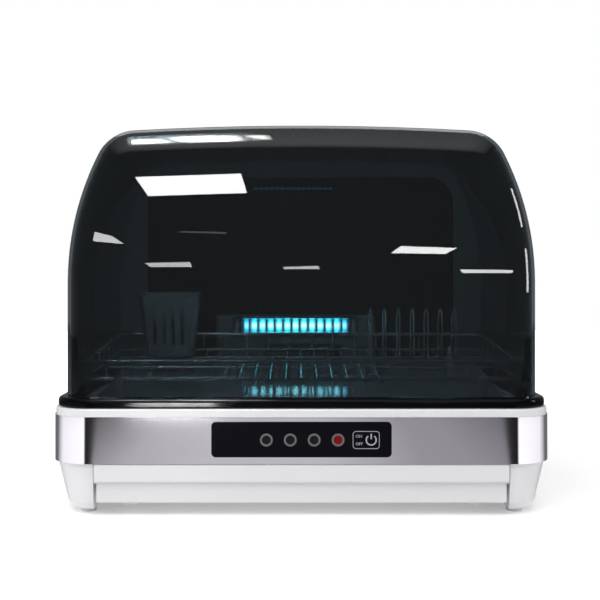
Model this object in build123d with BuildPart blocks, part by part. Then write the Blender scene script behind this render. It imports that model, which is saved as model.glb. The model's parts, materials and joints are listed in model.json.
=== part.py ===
from build123d import *
import math
import os

os.makedirs("parts", exist_ok=True)

# A countertop dish sterilizer: a tinted dome hinged at the back of a white base, with a drip tray
# that slides out under a steel band. Millimetres, +X to the right, +Y to the back, +Z up, with the
# origin on the floor under the middle of the cabinet.

# ---- Driving dimensions ----
DEPTH = 380.0            # control panel face to cord gland
HEIGHT = 398.0           # floor to the crown of the lid
FRONT = -DEPTH / 2
BACK = DEPTH / 2
SHEET = 1.1              # steel sheet
WALL = 3.0               # moulded walls
THIN_WALL = 2.5          # small mouldings
RUNNING = 0.05           # radial clearance of pins and shafts

# Base, from the floor up
TUB_BOTTOM = 7.0
CHAMFER_TOP = 13.0
BAND_BOTTOM = 53.5
BAND_TOP = 100.5
DECK_TOP = 108.5
BAND_HALF_W = 255.0
BAND_HALF_D = 188.5
BAND_R = 40.0
BELT_HALF_W = BAND_HALF_W - SHEET
BELT_HALF_D = BAND_HALF_D - SHEET
BELT_R = BAND_R - SHEET
TUB_TOP_HALF_W = 251.5
TUB_TOP_HALF_D = 186.0
TUB_TOP_R = 37.5
TUB_STEPS = (            # the tub draws in towards the floor: height, half width, half depth, corner
    (TUB_BOTTOM, 238.5, 180.0, 32.0),
    (CHAMFER_TOP, 242.0, 183.0, 35.0),
    (BAND_BOTTOM, TUB_TOP_HALF_W, TUB_TOP_HALF_D, TUB_TOP_R),
)
FOOT_X = 220.0
FOOT_Y = 155.0
FOOT_R = 9.0
FOOT_STUD_R = 3.0

# Rear compartment and its cover
COVER_Y = 132.0
COVER_SHEET = 2.0
COVER_SCREW_X = 196.0    # pitch of the screws
COVER_SCREW_Y = 80.0
SCREW_R = 1.5
VENT_HALF_W = 63.0
VENT_Z = 32.0
VENT_HALF_H = 19.0
GLAND_X = 190.0
GLAND_Z = 31.0
GLAND_R = 6.0

# Drip tray and its bay
TRAY_HALF_W = 203.0
TRAY_BOTTOM = 15.0
TRAY_TOP = 47.0
TRAY_BACK = 76.0
TRAY_WALL = 2.4
TRAY_DRAFT = 3.0         # degrees
BAY_HALF_W = 209.6
BAY_BACK = 84.0
BAY_TOP = 60.0
RUNNER_TOP = 44.2
TRAY_FACE = -187.5
TRAY_FACE_BACK = -180.5
TRAY_FACE_HALF_W = 208.5

# Deck and the sloping drain floor
DECK_LEDGE = 104.5
DECK_HALF_W = 254.0
DECK_HALF_D = 187.5
POCKET_HALF_W = 232.0
POCKET_FRONT = -168.0
POCKET_BACK = 166.0
POCKET_R = 18.0
PAN_HALF_W = 223.0
PAN_FRONT = -162.0
PAN_BACK = 96.0
PAN_R = 6.0
PAN_FIT = 0.3            # room round the pan in the deck
PAN_LOW = 99.5
PAN_HIGH = 131.0
PAN_SLOPE = math.degrees(math.atan2(PAN_HIGH - PAN_LOW, PAN_BACK - PAN_FRONT))
FLANGE_MEETS_FLOOR = PAN_FRONT + (DECK_LEDGE + SHEET - PAN_LOW) / math.tan(math.radians(PAN_SLOPE))

# Back wall with its shelf
SHELF_HALF_W = 203.0
SHELF_FRONT = 98.0
WALL_FRONT = 138.0
WALL_BACK = 155.0
WALL_TOP = 372.0

# Lid
DOME_HALF_W = 242.5
DOME_FRONT = -177.0
DOME_BACK = 163.0
DOME_FOOT = 112.0
DOME_EDGE_R = 28.0
LEAN_R = 296.0           # the long arc of the side walls
LEAN_TURN = 26.8
SHOULDER_R = 45.0
SHOULDER_TURN = 60.0
CROWN_SLOPE = 90.0 - LEAN_TURN - SHOULDER_TURN
RIM_BOTTOM = 109.0
RIM_TOP = 118.5
RIM_OVERHANG = 9.0
SEAL_DEPTH = 2.0         # how far the seal sits in its groove
HINGE_X = 150.0
HINGE_Y = 178.5
HINGE_Z = 116.0
PIN_R = 2.0
KNUCKLE_R = 5.0
EAR = 3.0                # thickness of the bracket's ears
BRACKET_HALF_W = 13.0

# Lamp, outlet and heater
HOUSING_X = -6.5
HOUSING_HALF_W = 103.0
HOUSING_TOP = 190.0
GUARD_HALF_W = 80.0
GUARD_BOTTOM = 163.9
GUARD_TOP = 189.5
GUARD_FRAME = 1.7
GUARD_CELLS = 15
LAMP_Y = 113.0
LAMP_Z = (GUARD_BOTTOM + GUARD_TOP) / 2
LAMP_R = 8.0
LAMP_LENGTH = 148.0
LAMP_CAP = 7.0
LAMP_PIN_R = 1.1
OUTLET_X = 4.0
OUTLET_HALF_W = 50.0
OUTLET_BOTTOM = 133.5
OUTLET_TOP = 152.5
PORT_HALF_W = 48.0       # air port between shelf and housing
PORT_FRONT = 108.0
PORT_BACK = 132.0

# Blower
FAN_X = -22.0
FAN_Z = 54.0
FAN_FRONT = 100.0
FAN_BACK = 136.0
SCROLL_NEAR_R = 33.0     # the scroll widens from here
SCROLL_FAR_R = 37.0      # to here
SCROLL_WALL = 1.8
THROAT_X = 6.9           # right side of the throat, from the fan's axis
SCROLL_TOP = BAND_TOP - 1.5
IMPELLER_R = 28.0
BLADE_COUNT = 20
MOTOR_R = 19.0

# Control panel
PANEL_HALF_W = 90.3
PANEL_BOTTOM = 60.5
PANEL_TOP = 96.0
PANEL_FACE = FRONT + 0.3
LIGHT_PITCH = 23.9
LIGHT_Z = 78.0
LIGHT_X = [(i - 1.5) * LIGHT_PITCH + 0.7 for i in range(4)]
LENS_R = 4.5
RING_R = 6.4
KEY_X = 64.7
KEY_HALF_W = 13.6
KEY_HALF_H = 9.1
KEY_GAP = 0.3
WINDOW_HALF_W = 86.0     # cut through band and housing behind the panel
WINDOW_BOTTOM = 64.0
WINDOW_TOP = 92.5
BOSS_PITCH = 156.0
BOARD_FRONT = -175.0
BOARD = 1.6

# Rack and cutlery holder. The rack leans forward by about half as much as the floor.
RACK_MID_Y = -40.0
RACK_MID_Z = 141.3
RACK_SLOPE = 3.8
RACK_HALF_W = 225.5
RACK_HALF_L = 111.0
RACK_R = 22.0
RACK_RIM = 19.2          # rim above the base hoop
RIM_WIRE = 4.0
WIRE = 3.0
FINE_WIRE = 2.2
WELD = 0.2               # how far crossing wires sink into each other
FLOOR_PITCH = 16.6
FLOOR_WIRES = 25
PRONG_COUNT = 7
PRONG_FIRST_X = 5 * FLOOR_PITCH
PRONG_FRONT = 28.0
PRONG_BACK = 64.0
PRONG_TOP = 58.0
RACK_FOOT_X = 189.0
RACK_FOOT_R = 4.0
HOLDER_X = -159.0
HOLDER_V = 78.0
HOLDER_HEIGHT = 74.0
HOLDER_WALL = 1.9


def floor_height(y):
    """Height of the drain floor's upper face at a depth y."""
    return PAN_LOW + (y - PAN_FRONT) * math.tan(math.radians(PAN_SLOPE))


FLOOR_PLANE = Plane((0, RACK_MID_Y, floor_height(RACK_MID_Y)), x_dir=(1, 0, 0)).rotated((PAN_SLOPE, 0, 0))
RACK_PLANE = Plane((0, RACK_MID_Y, RACK_MID_Z), x_dir=(1, 0, 0)).rotated((RACK_SLOPE, 0, 0))


def plan(half_width, front, back, radius, mode=Mode.ADD):
    """Rounded outline seen from above, from front to back."""
    with Locations((0, (front + back) / 2)):
        RectangleRounded(2 * half_width, back - front, radius, mode=mode)


def dome_plan(grow, mode=Mode.ADD):
    """The dome's outline seen from above, grown all round."""
    plan(DOME_HALF_W + grow, DOME_FRONT - grow, DOME_BACK + grow, DOME_EDGE_R + grow, mode)


def block(x0, x1, y0, y1, z0, z1, mode=Mode.ADD):
    """A block between six faces."""
    with Locations(((x0 + x1) / 2, (y0 + y1) / 2, (z0 + z1) / 2)):
        Box(x1 - x0, y1 - y0, z1 - z0, mode=mode)


def fore_aft_pin(x, y0, y1, z, radius, mode=Mode.ADD):
    """A round pin or bore that runs from front to back."""
    with Locations((x, (y0 + y1) / 2, z)):
        Cylinder(radius, y1 - y0, rotation=(90, 0, 0), mode=mode)


# ======== Base ========

BAY_WALL = 2.6
PANEL_POCKET_HALF_W = 97.5
PANEL_POCKET_FRONT = -184.3
PANEL_POCKET_BACK = -165.5

# The room inside the base: two legs, the rear compartment and the belt above the tray bay.
with BuildPart() as base_hollow:
    for height, half_w, half_d, radius in TUB_STEPS:
        lifted = WALL if height == TUB_BOTTOM else 0
        with BuildSketch(Plane.XY.offset(height + lifted)):
            plan(half_w - WALL, WALL - half_d, half_d - WALL, radius - WALL)
    loft(ruled=True)
    with BuildSketch(Plane.XY.offset(BAND_BOTTOM)):
        plan(TUB_TOP_HALF_W - WALL, WALL - TUB_TOP_HALF_D, TUB_TOP_HALF_D - WALL, TUB_TOP_R - WALL)
    extrude(amount=BAND_TOP - BAND_BOTTOM)
    bay_outer = BAY_HALF_W + BAY_WALL
    block(-bay_outer, bay_outer, FRONT, BAY_BACK + BAY_WALL, 0, BAY_TOP, mode=Mode.SUBTRACT)
    block(-100, 100, FRONT, -163, BAY_TOP - 4, BAND_TOP, mode=Mode.SUBTRACT)

with BuildPart() as lower_housing:
    for height, half_w, half_d, radius in TUB_STEPS:
        with BuildSketch(Plane.XY.offset(height)):
            plan(half_w, -half_d, half_d, radius)
    loft(ruled=True)
    with BuildSketch(Plane.XY.offset(BAND_BOTTOM)):
        plan(BELT_HALF_W, -BELT_HALF_D, BELT_HALF_D, BELT_R)
    extrude(amount=BAND_TOP - BAND_BOTTOM)
    add(base_hollow.part, mode=Mode.SUBTRACT)
    # the tray bay, open at the front, above and below
    block(-BAY_HALF_W, BAY_HALF_W, FRONT - 1, BAY_BACK, 0, BAND_BOTTOM + 0.6, mode=Mode.SUBTRACT)
    block(-BAY_HALF_W, BAY_HALF_W, -183, BAY_BACK, 40, BAY_TOP - 4, mode=Mode.SUBTRACT)
    block(-BAY_HALF_W, BAY_HALF_W, -163, BAY_BACK, 40, BAND_TOP - 0.5, mode=Mode.SUBTRACT)
    # the pocket behind the control panel
    block(-PANEL_POCKET_HALF_W, PANEL_POCKET_HALF_W, PANEL_POCKET_FRONT, PANEL_POCKET_BACK,
          BAY_TOP - 1.5, BAND_TOP, mode=Mode.SUBTRACT)
    block(-WINDOW_HALF_W, WINDOW_HALF_W, FRONT, -180, WINDOW_BOTTOM, WINDOW_TOP, mode=Mode.SUBTRACT)
    # flat seats on the back wall for the vent grille and the cord gland
    block(-VENT_HALF_W - 1, VENT_HALF_W + 1, TUB_TOP_HALF_D - 5, TUB_TOP_HALF_D, 12, 52)
    block(GLAND_X - 12, GLAND_X + 14, TUB_TOP_HALF_D - 5.5, TUB_TOP_HALF_D, 18, 44)
    block(7 - VENT_HALF_W, VENT_HALF_W - 7, 175, TUB_TOP_HALF_D + 1, 18, 46, mode=Mode.SUBTRACT)
    fore_aft_pin(GLAND_X, BACK - 20, BACK, GLAND_Z, GLAND_R, mode=Mode.SUBTRACT)
    # bottom opening of the rear compartment, and the holes of the cover's screws and the feet
    block(-192, 192, 96, 168, 0, 12, mode=Mode.SUBTRACT)
    with Locations((0, COVER_Y, TUB_BOTTOM)):
        with GridLocations(COVER_SCREW_X, COVER_SCREW_Y, 3, 2):
            Cylinder(SCREW_R, 20, mode=Mode.SUBTRACT)
    with Locations((0, 0, TUB_BOTTOM)):
        with GridLocations(2 * FOOT_X, 2 * FOOT_Y, 2, 2):
            Cylinder(FOOT_STUD_R, 20, mode=Mode.SUBTRACT)
lower_housing.part.label = "lower_housing"
export_step(lower_housing.part, "parts/lower_housing.step")

with BuildPart() as steel_band:
    with BuildSketch(Plane.XY.offset(BAND_BOTTOM)):
        plan(BAND_HALF_W, -BAND_HALF_D, BAND_HALF_D, BAND_R)
        plan(BELT_HALF_W, -BELT_HALF_D, BELT_HALF_D, BELT_R, mode=Mode.SUBTRACT)
    extrude(amount=BAND_TOP - BAND_BOTTOM)
    block(-WINDOW_HALF_W, WINDOW_HALF_W, FRONT - 5, -180, WINDOW_BOTTOM, WINDOW_TOP, mode=Mode.SUBTRACT)
steel_band.part.label = "steel_band"
export_step(steel_band.part, "parts/steel_band.step")

DUCT_LEFT = FAN_X - SCROLL_FAR_R
DUCT_RIGHT = FAN_X + THROAT_X
SKIRT_HALF_W = 248.2
SKIRT_HALF_D = 182.7
SKIRT_R = 34.2
SKIRT_DEPTH = 7.0

with BuildPart() as top_deck:
    with BuildSketch(Plane.XY.offset(BAND_TOP)):
        plan(DECK_HALF_W, -DECK_HALF_D, DECK_HALF_D, BAND_R - 1)
    extrude(amount=DECK_TOP - BAND_TOP)
    fillet(top_deck.faces().sort_by(Axis.Z)[-1].outer_wire().edges(), 2.0)
    with BuildSketch(Plane.XY.offset(DECK_LEDGE)):
        plan(POCKET_HALF_W, POCKET_FRONT, POCKET_BACK, POCKET_R)
    extrude(amount=10, mode=Mode.SUBTRACT)
    # the hole that the pan hangs in, and the one that the air duct comes up through
    with BuildSketch(Plane.XY.offset(BAND_TOP - 1)):
        plan(PAN_HALF_W + PAN_FIT, PAN_FRONT - PAN_FIT, PAN_BACK + PAN_FIT, PAN_R + PAN_FIT)
        with Locations(((DUCT_LEFT + DUCT_RIGHT) / 2, (FAN_FRONT + FAN_BACK) / 2)):
            Rectangle(DUCT_RIGHT - DUCT_LEFT + 0.6, FAN_BACK - FAN_FRONT + 0.6)
    extrude(amount=10, mode=Mode.SUBTRACT)
    # the skirt that drops inside the belt, left out over the control panel
    with BuildSketch(Plane.XY.offset(BAND_TOP)):
        plan(SKIRT_HALF_W, -SKIRT_HALF_D, SKIRT_HALF_D, SKIRT_R)
        plan(SKIRT_HALF_W - THIN_WALL, THIN_WALL - SKIRT_HALF_D, SKIRT_HALF_D - THIN_WALL,
             SKIRT_R - THIN_WALL, mode=Mode.SUBTRACT)
        with Locations((0, -SKIRT_HALF_D)):
            Rectangle(203, 40, mode=Mode.SUBTRACT)
    extrude(amount=-SKIRT_DEPTH)
top_deck.part.label = "top_deck"
export_step(top_deck.part, "parts/top_deck.step")

DRAIN_SLOTS = 11
with BuildPart() as drain_pan:
    # skirt and resting flange, cut to the slope of the floor, then the floor sheet and its drain slots
    with BuildSketch(Plane.XY.offset(PAN_LOW - SHEET)):
        plan(PAN_HALF_W, PAN_FRONT, PAN_BACK, PAN_R)
        plan(PAN_HALF_W - SHEET, PAN_FRONT + SHEET, PAN_BACK - SHEET, PAN_R - 1, mode=Mode.SUBTRACT)
    extrude(amount=PAN_HIGH - PAN_LOW + SHEET)
    with BuildSketch(Plane.XY.offset(DECK_LEDGE)):
        plan(POCKET_HALF_W - 0.4, POCKET_FRONT + 0.4, PAN_BACK, POCKET_R - 0.4)
        plan(PAN_HALF_W - SHEET, PAN_FRONT + SHEET, PAN_BACK - SHEET, PAN_R - 1, mode=Mode.SUBTRACT)
    extrude(amount=SHEET)
    with BuildSketch(Plane.YZ):
        Polygon((PAN_FRONT, PAN_LOW - SHEET), (PAN_FRONT, PAN_LOW), (PAN_BACK, PAN_HIGH),
                (PAN_BACK, PAN_HIGH - SHEET), align=None)
    extrude(amount=PAN_HALF_W - SHEET / 2, both=True)
    with BuildSketch(Plane.YZ):
        Polygon((POCKET_FRONT, DECK_LEDGE + SHEET), (FLANGE_MEETS_FLOOR, DECK_LEDGE + SHEET),
                (PAN_BACK + 1, floor_height(PAN_BACK + 1)), (PAN_BACK + 1, HEIGHT),
                (POCKET_FRONT, HEIGHT), align=None)
    extrude(amount=POCKET_HALF_W, both=True, mode=Mode.SUBTRACT)
    with BuildSketch(Plane.XY.offset(PAN_LOW - 10)):
        with Locations((0, PAN_FRONT + 14)):
            with GridLocations(38, 12, DRAIN_SLOTS, 2):
                SlotOverall(24, 4)
    extrude(amount=30, mode=Mode.SUBTRACT)
drain_pan.part.label = "drain_pan"
export_step(drain_pan.part, "parts/drain_pan.step")

with BuildPart() as bottom_cover:
    # plate under the rear compartment, with intake slots for the blower
    with BuildSketch(Plane.XY.offset(TUB_BOTTOM - COVER_SHEET)):
        with Locations((0, COVER_Y)):
            RectangleRounded(400, 88, 6)
            with GridLocations(12, 0, 9, 1):
                SlotOverall(36, 4, rotation=90, mode=Mode.SUBTRACT)
            with GridLocations(COVER_SCREW_X, COVER_SCREW_Y, 3, 2):
                Circle(SCREW_R + 0.1, mode=Mode.SUBTRACT)
    extrude(amount=COVER_SHEET)
bottom_cover.part.label = "bottom_cover"
export_step(bottom_cover.part, "parts/bottom_cover.step")

with BuildPart() as cover_screws:
    with Locations((0, COVER_Y, TUB_BOTTOM - COVER_SHEET)):
        with GridLocations(COVER_SCREW_X, COVER_SCREW_Y, 3, 2):
            Cylinder(2.8, 1.6, align=(Align.CENTER, Align.CENTER, Align.MAX))
            Cylinder(SCREW_R, 6.5, align=(Align.CENTER, Align.CENTER, Align.MIN))
cover_screws.part.label = "cover_screws"
export_step(cover_screws.part, "parts/cover_screws.step")

with BuildPart() as rubber_feet:
    # each foot is a low cone with a stud that pushes into the base
    with GridLocations(2 * FOOT_X, 2 * FOOT_Y, 2, 2):
        Cone(FOOT_R - 1, FOOT_R, TUB_BOTTOM, align=(Align.CENTER, Align.CENTER, Align.MIN))
        Cylinder(FOOT_STUD_R - 0.1, TUB_BOTTOM + 4, align=(Align.CENTER, Align.CENTER, Align.MIN))
        Cylinder(2.5, 4, mode=Mode.SUBTRACT)
rubber_feet.part.label = "rubber_feet"
export_step(rubber_feet.part, "parts/rubber_feet.step")

# ======== Drip tray ========

RUNNER_WIDTH = 5.0
RUNNER_FRONT = -176.0
with BuildPart() as tray_runners:
    for side in (-1, 1):
        outer = side * BAY_HALF_W
        inner = side * (BAY_HALF_W - RUNNER_WIDTH)
        with BuildSketch(Plane.XZ.offset(-RUNNER_FRONT)):
            Polygon((outer, RUNNER_TOP - 8.2), (outer, RUNNER_TOP), (inner, RUNNER_TOP),
                    (inner, RUNNER_TOP - 2.5), (outer - side * 2.5, RUNNER_TOP - 2.5), align=None)
        extrude(amount=RUNNER_FRONT - BAY_BACK)
tray_runners.part.label = "tray_runners"
export_step(tray_runners.part, "parts/tray_runners.step")

LIP_BOTTOM = 44.5
LIP_OUT = 5.6
SKID_X = 173.0
SKID_HALF_W = 7.0
SKID_BOTTOM = 10.0
with BuildPart() as drip_tray:
    # tapered pan with an open top
    with BuildSketch(Plane.XY.offset(TRAY_TOP)):
        plan(TRAY_HALF_W, TRAY_FACE_BACK, TRAY_BACK, 12)
    extrude(amount=TRAY_BOTTOM - TRAY_TOP, taper=TRAY_DRAFT)
    fillet(drip_tray.faces().sort_by(Axis.Z)[0].edges(), 5)
    with BuildSketch(Plane.XY.offset(TRAY_TOP)):
        plan(TRAY_HALF_W - TRAY_WALL, TRAY_FACE_BACK + TRAY_WALL, TRAY_BACK - TRAY_WALL, 12 - TRAY_WALL)
    extrude(amount=TRAY_BOTTOM - TRAY_TOP + TRAY_WALL, taper=TRAY_DRAFT, mode=Mode.SUBTRACT)
    # side lips that ride on the runners, and two skids underneath
    for side in (-1, 1):
        near, far = sorted((side * (TRAY_HALF_W - 1), side * (TRAY_HALF_W + LIP_OUT)))
        block(near, far, TRAY_FACE_BACK + 6, TRAY_BACK - 14, LIP_BOTTOM, TRAY_TOP)
        block(side * SKID_X - SKID_HALF_W, side * SKID_X + SKID_HALF_W, -176, 60,
              SKID_BOTTOM, TRAY_BOTTOM + 0.5)
drip_tray.part.label = "drip_tray"
export_step(drip_tray.part, "parts/drip_tray.step")

FACE_BOTTOM = 13.5
FACE_TOP = 53.2
GRIP_TOP = 35.5          # the upper part stands proud of the lower one above this
GRIP_BOTTOM = 32.5
GRIP_DEPTH = 4.6
with BuildPart() as tray_front:
    with BuildSketch(Plane.YZ.offset(-TRAY_FACE_HALF_W)):
        with BuildLine():
            Polyline((TRAY_FACE_BACK, FACE_BOTTOM), (TRAY_FACE_BACK, FACE_TOP), (TRAY_FACE, FACE_TOP),
                     (TRAY_FACE, GRIP_TOP), (TRAY_FACE + GRIP_DEPTH, GRIP_BOTTOM),
                     (TRAY_FACE + GRIP_DEPTH, FACE_BOTTOM), close=True)
        make_face()
    extrude(amount=2 * TRAY_FACE_HALF_W)
    fillet(tray_front.edges().filter_by(Axis.X).group_by(Axis.Y)[0], 1.2)
    fillet(tray_front.edges().filter_by(Axis.X).group_by(Axis.Z)[0].sort_by(Axis.Y)[0], 1.0)
    # the lower part is a little narrower
    for side in (-1, 1):
        edge = side * (TRAY_FACE_HALF_W - 1)
        block(edge - 1, edge + 1, FRONT, TRAY_FACE_BACK + 1, FACE_BOTTOM - 1, GRIP_BOTTOM + 0.5,
              mode=Mode.SUBTRACT)
tray_front.part.label = "tray_front"
export_step(tray_front.part, "parts/tray_front.step")

# ======== Control panel ========

PANEL_BODY_HALF_W = 85.75
PANEL_BODY_HALF_H = 14.0
with BuildPart() as control_panel:
    with BuildSketch(Plane.XZ.offset(-PANEL_FACE)):
        with Locations((0, (PANEL_BOTTOM + PANEL_TOP) / 2)):
            RectangleRounded(2 * PANEL_HALF_W, PANEL_TOP - PANEL_BOTTOM, 4.5)
    extrude(amount=PANEL_FACE + BAND_HALF_D)
    fillet(control_panel.faces().sort_by(Axis.Y)[0].edges(), 0.6)
    # the body behind the flange, which passes through band and housing
    with BuildSketch(Plane.XZ.offset(BAND_HALF_D)):
        with Locations((0, (WINDOW_BOTTOM + WINDOW_TOP) / 2)):
            Rectangle(2 * PANEL_BODY_HALF_W, 2 * PANEL_BODY_HALF_H)
    extrude(amount=-5)
    # bosses that carry the circuit board
    for side in (-1, 1):
        fore_aft_pin(side * BOSS_PITCH / 2, BOARD_FRONT - 12, BOARD_FRONT, LIGHT_Z, 2.5)
    # windows for the lights and the key
    with BuildSketch(Plane.XZ.offset(-FRONT + 5)):
        for x in LIGHT_X:
            with Locations((x, LIGHT_Z)):
                Circle(LENS_R)
        with Locations((KEY_X, LIGHT_Z)):
            RectangleRounded(2 * (KEY_HALF_W + KEY_GAP), 2 * (KEY_HALF_H + KEY_GAP), 3.3)
    extrude(amount=-13, mode=Mode.SUBTRACT)
control_panel.part.label = "control_panel"
export_step(control_panel.part, "parts/control_panel.step")

with BuildPart() as indicator_rings:
    with BuildSketch(Plane.XZ.offset(-FRONT)):
        for x in LIGHT_X:
            with Locations((x, LIGHT_Z)):
                Circle(RING_R)
                Circle(LENS_R, mode=Mode.SUBTRACT)
    extrude(amount=FRONT - PANEL_FACE)
indicator_rings.part.label = "indicator_rings"
export_step(indicator_rings.part, "parts/indicator_rings.step")

LENS_DEPTH = 4.0
with BuildPart() as indicator_lenses:
    for x in LIGHT_X[:3]:
        fore_aft_pin(x, PANEL_FACE, PANEL_FACE + LENS_DEPTH, LIGHT_Z, LENS_R)
indicator_lenses.part.label = "indicator_lenses"
export_step(indicator_lenses.part, "parts/indicator_lenses.step")

with BuildPart() as red_lens:
    fore_aft_pin(LIGHT_X[3], PANEL_FACE, PANEL_FACE + LENS_DEPTH, LIGHT_Z, LENS_R)
red_lens.part.label = "red_lens"
export_step(red_lens.part, "parts/red_lens.step")

SWITCH_DEPTH = 2.4
KEY_STROKE = 0.6
KEY_STEM_END = BOARD_FRONT - SWITCH_DEPTH - KEY_STROKE - 0.2
with BuildPart() as power_key:
    with BuildSketch(Plane.XZ.offset(-FRONT)):
        with Locations((KEY_X, LIGHT_Z)):
            RectangleRounded(2 * KEY_HALF_W, 2 * KEY_HALF_H, 3)
    extrude(amount=-4)
    fillet(power_key.faces().sort_by(Axis.Y)[0].edges(), 0.5)
    fore_aft_pin(KEY_X, FRONT + 3, KEY_STEM_END, LIGHT_Z, 1.6)
power_key.part.label = "power_key"
export_step(power_key.part, "parts/power_key.step")

BOARD_BACK = BOARD_FRONT + BOARD
with BuildPart() as control_board:
    with BuildSketch(Plane.XZ.offset(-BOARD_FRONT)):
        with Locations((0, LIGHT_Z)):
            Rectangle(170, 27)
            with GridLocations(BOSS_PITCH, 0, 2, 1):
                Circle(1.5, mode=Mode.SUBTRACT)
    extrude(amount=-BOARD)
    # relay and cable header on the back
    block(-70, -52, BOARD_BACK, BOARD_BACK + 7, LIGHT_Z - 8, LIGHT_Z + 6)
    block(-6, 16, BOARD_BACK, BOARD_BACK + 5.4, LIGHT_Z - 10, LIGHT_Z - 4)
control_board.part.label = "control_board"
export_step(control_board.part, "parts/control_board.step")

with BuildPart() as indicator_lights:
    for x in LIGHT_X:
        fore_aft_pin(x, BOARD_FRONT - 5, BOARD_FRONT, LIGHT_Z, 2.5)
indicator_lights.part.label = "indicator_lights"
export_step(indicator_lights.part, "parts/indicator_lights.step")

with BuildPart() as key_switch:
    block(KEY_X - 3, KEY_X + 3, BOARD_FRONT - SWITCH_DEPTH, BOARD_FRONT, LIGHT_Z - 3, LIGHT_Z + 3)
key_switch.part.label = "key_switch"
export_step(key_switch.part, "parts/key_switch.step")

# ======== Back wall, lamp, outlet and hot air ========

HOUSING_LEFT = HOUSING_X - HOUSING_HALF_W
HOUSING_RIGHT = HOUSING_X + HOUSING_HALF_W
PORT_LEFT = HOUSING_X - PORT_HALF_W
PORT_RIGHT = HOUSING_X + PORT_HALF_W

with BuildPart() as air_plenum:
    # low shelf along the back wall, open below, with a port up into the housing
    block(-SHELF_HALF_W, SHELF_HALF_W, SHELF_FRONT, WALL_FRONT, DECK_LEDGE, PAN_HIGH)
    fillet(air_plenum.edges().filter_by(Axis.Z).group_by(Axis.Y)[0], 6)
    block(WALL - SHELF_HALF_W, SHELF_HALF_W - WALL, SHELF_FRONT + WALL, WALL_FRONT - WALL,
          0, PAN_HIGH - WALL, mode=Mode.SUBTRACT)
    block(PORT_LEFT, PORT_RIGHT, PORT_FRONT, PORT_BACK, 0, PAN_HIGH + 1, mode=Mode.SUBTRACT)
air_plenum.part.label = "air_plenum"
export_step(air_plenum.part, "parts/air_plenum.step")

with BuildPart() as rear_wall:
    # a tray-shaped panel stood on edge, open to the back
    with BuildSketch(Plane.XZ.offset(-WALL_FRONT)) as wall_outline:
        with Locations((0, (DECK_LEDGE + WALL_TOP) / 2)):
            Rectangle(2 * SHELF_HALF_W, WALL_TOP - DECK_LEDGE)
        fillet(wall_outline.vertices().group_by(Axis.Y)[-1], 34)
    extrude(amount=WALL_FRONT - WALL_BACK)
    fillet(rear_wall.faces().sort_by(Axis.Y)[0].edges().group_by(Axis.Z)[1:], 4)
    offset(amount=-THIN_WALL, openings=rear_wall.faces().sort_by(Axis.Y)[-1])
rear_wall.part.label = "rear_wall"
export_step(rear_wall.part, "parts/rear_wall.step")

with BuildPart() as lamp_housing:
    block(HOUSING_LEFT, HOUSING_RIGHT, SHELF_FRONT, WALL_FRONT, PAN_HIGH, HOUSING_TOP)
    fillet(lamp_housing.edges().filter_by(Axis.Z).group_by(Axis.Y)[0], 5)
    fillet(lamp_housing.faces().sort_by(Axis.Z)[-1].edges().group_by(Axis.Y)[0], 4)
    offset(amount=-THIN_WALL, openings=lamp_housing.faces().sort_by(Axis.Y)[-1])
    block(PORT_LEFT, PORT_RIGHT, PORT_FRONT, PORT_BACK, PAN_HIGH - 1, PAN_HIGH + 5, mode=Mode.SUBTRACT)
    # lamp window and outlet mouth
    block(HOUSING_X - GUARD_HALF_W + 3, HOUSING_X + GUARD_HALF_W - 3, 90, 106,
          GUARD_BOTTOM + 2.4, GUARD_TOP - 3, mode=Mode.SUBTRACT)
    block(OUTLET_X - OUTLET_HALF_W, OUTLET_X + OUTLET_HALF_W, 90, 106, OUTLET_BOTTOM, OUTLET_TOP,
          mode=Mode.SUBTRACT)
    # shallow plate between them
    with BuildSketch(Plane.XZ.offset(-SHELF_FRONT)):
        with Locations((OUTLET_X, (OUTLET_TOP + GUARD_BOTTOM) / 2)):
            RectangleRounded(2 * OUTLET_HALF_W + 10, 9.5, 3)
    extrude(amount=1.2)
lamp_housing.part.label = "lamp_housing"
export_step(lamp_housing.part, "parts/lamp_housing.step")

GUARD_HEIGHT = GUARD_TOP - GUARD_BOTTOM
with BuildPart() as lamp_guard:
    # a frame with upright bars across the lamp
    with BuildSketch(Plane.XZ.offset(-SHELF_FRONT)):
        with Locations((HOUSING_X, LAMP_Z)):
            RectangleRounded(2 * GUARD_HALF_W, GUARD_HEIGHT, 5)
            RectangleRounded(2 * (GUARD_HALF_W - GUARD_FRAME), GUARD_HEIGHT - 2 * GUARD_FRAME, 3.3,
                             mode=Mode.SUBTRACT)
            with GridLocations(2 * GUARD_HALF_W / GUARD_CELLS, 0, GUARD_CELLS - 1, 1):
                Rectangle(1.8, GUARD_HEIGHT - GUARD_FRAME)
    extrude(amount=5)
    fillet(lamp_guard.faces().sort_by(Axis.Y)[0].outer_wire().edges(), 1.2)
lamp_guard.part.label = "lamp_guard"
export_step(lamp_guard.part, "parts/lamp_guard.step")


def lamp_pins(side, mode=Mode.ADD):
    """The two contact pins at one end of the lamp."""
    with Locations((HOUSING_X + side * (LAMP_LENGTH / 2 + 3), LAMP_Y, LAMP_Z)):
        with GridLocations(0, 5, 1, 2):
            Cylinder(LAMP_PIN_R, 6, rotation=(0, 90, 0), mode=mode)


with BuildPart() as uv_lamp:
    with Locations((HOUSING_X, LAMP_Y, LAMP_Z)):
        Cylinder(LAMP_R, LAMP_LENGTH - 2 * LAMP_CAP, rotation=(0, 90, 0))
uv_lamp.part.label = "uv_lamp"
export_step(uv_lamp.part, "parts/uv_lamp.step")

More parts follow.
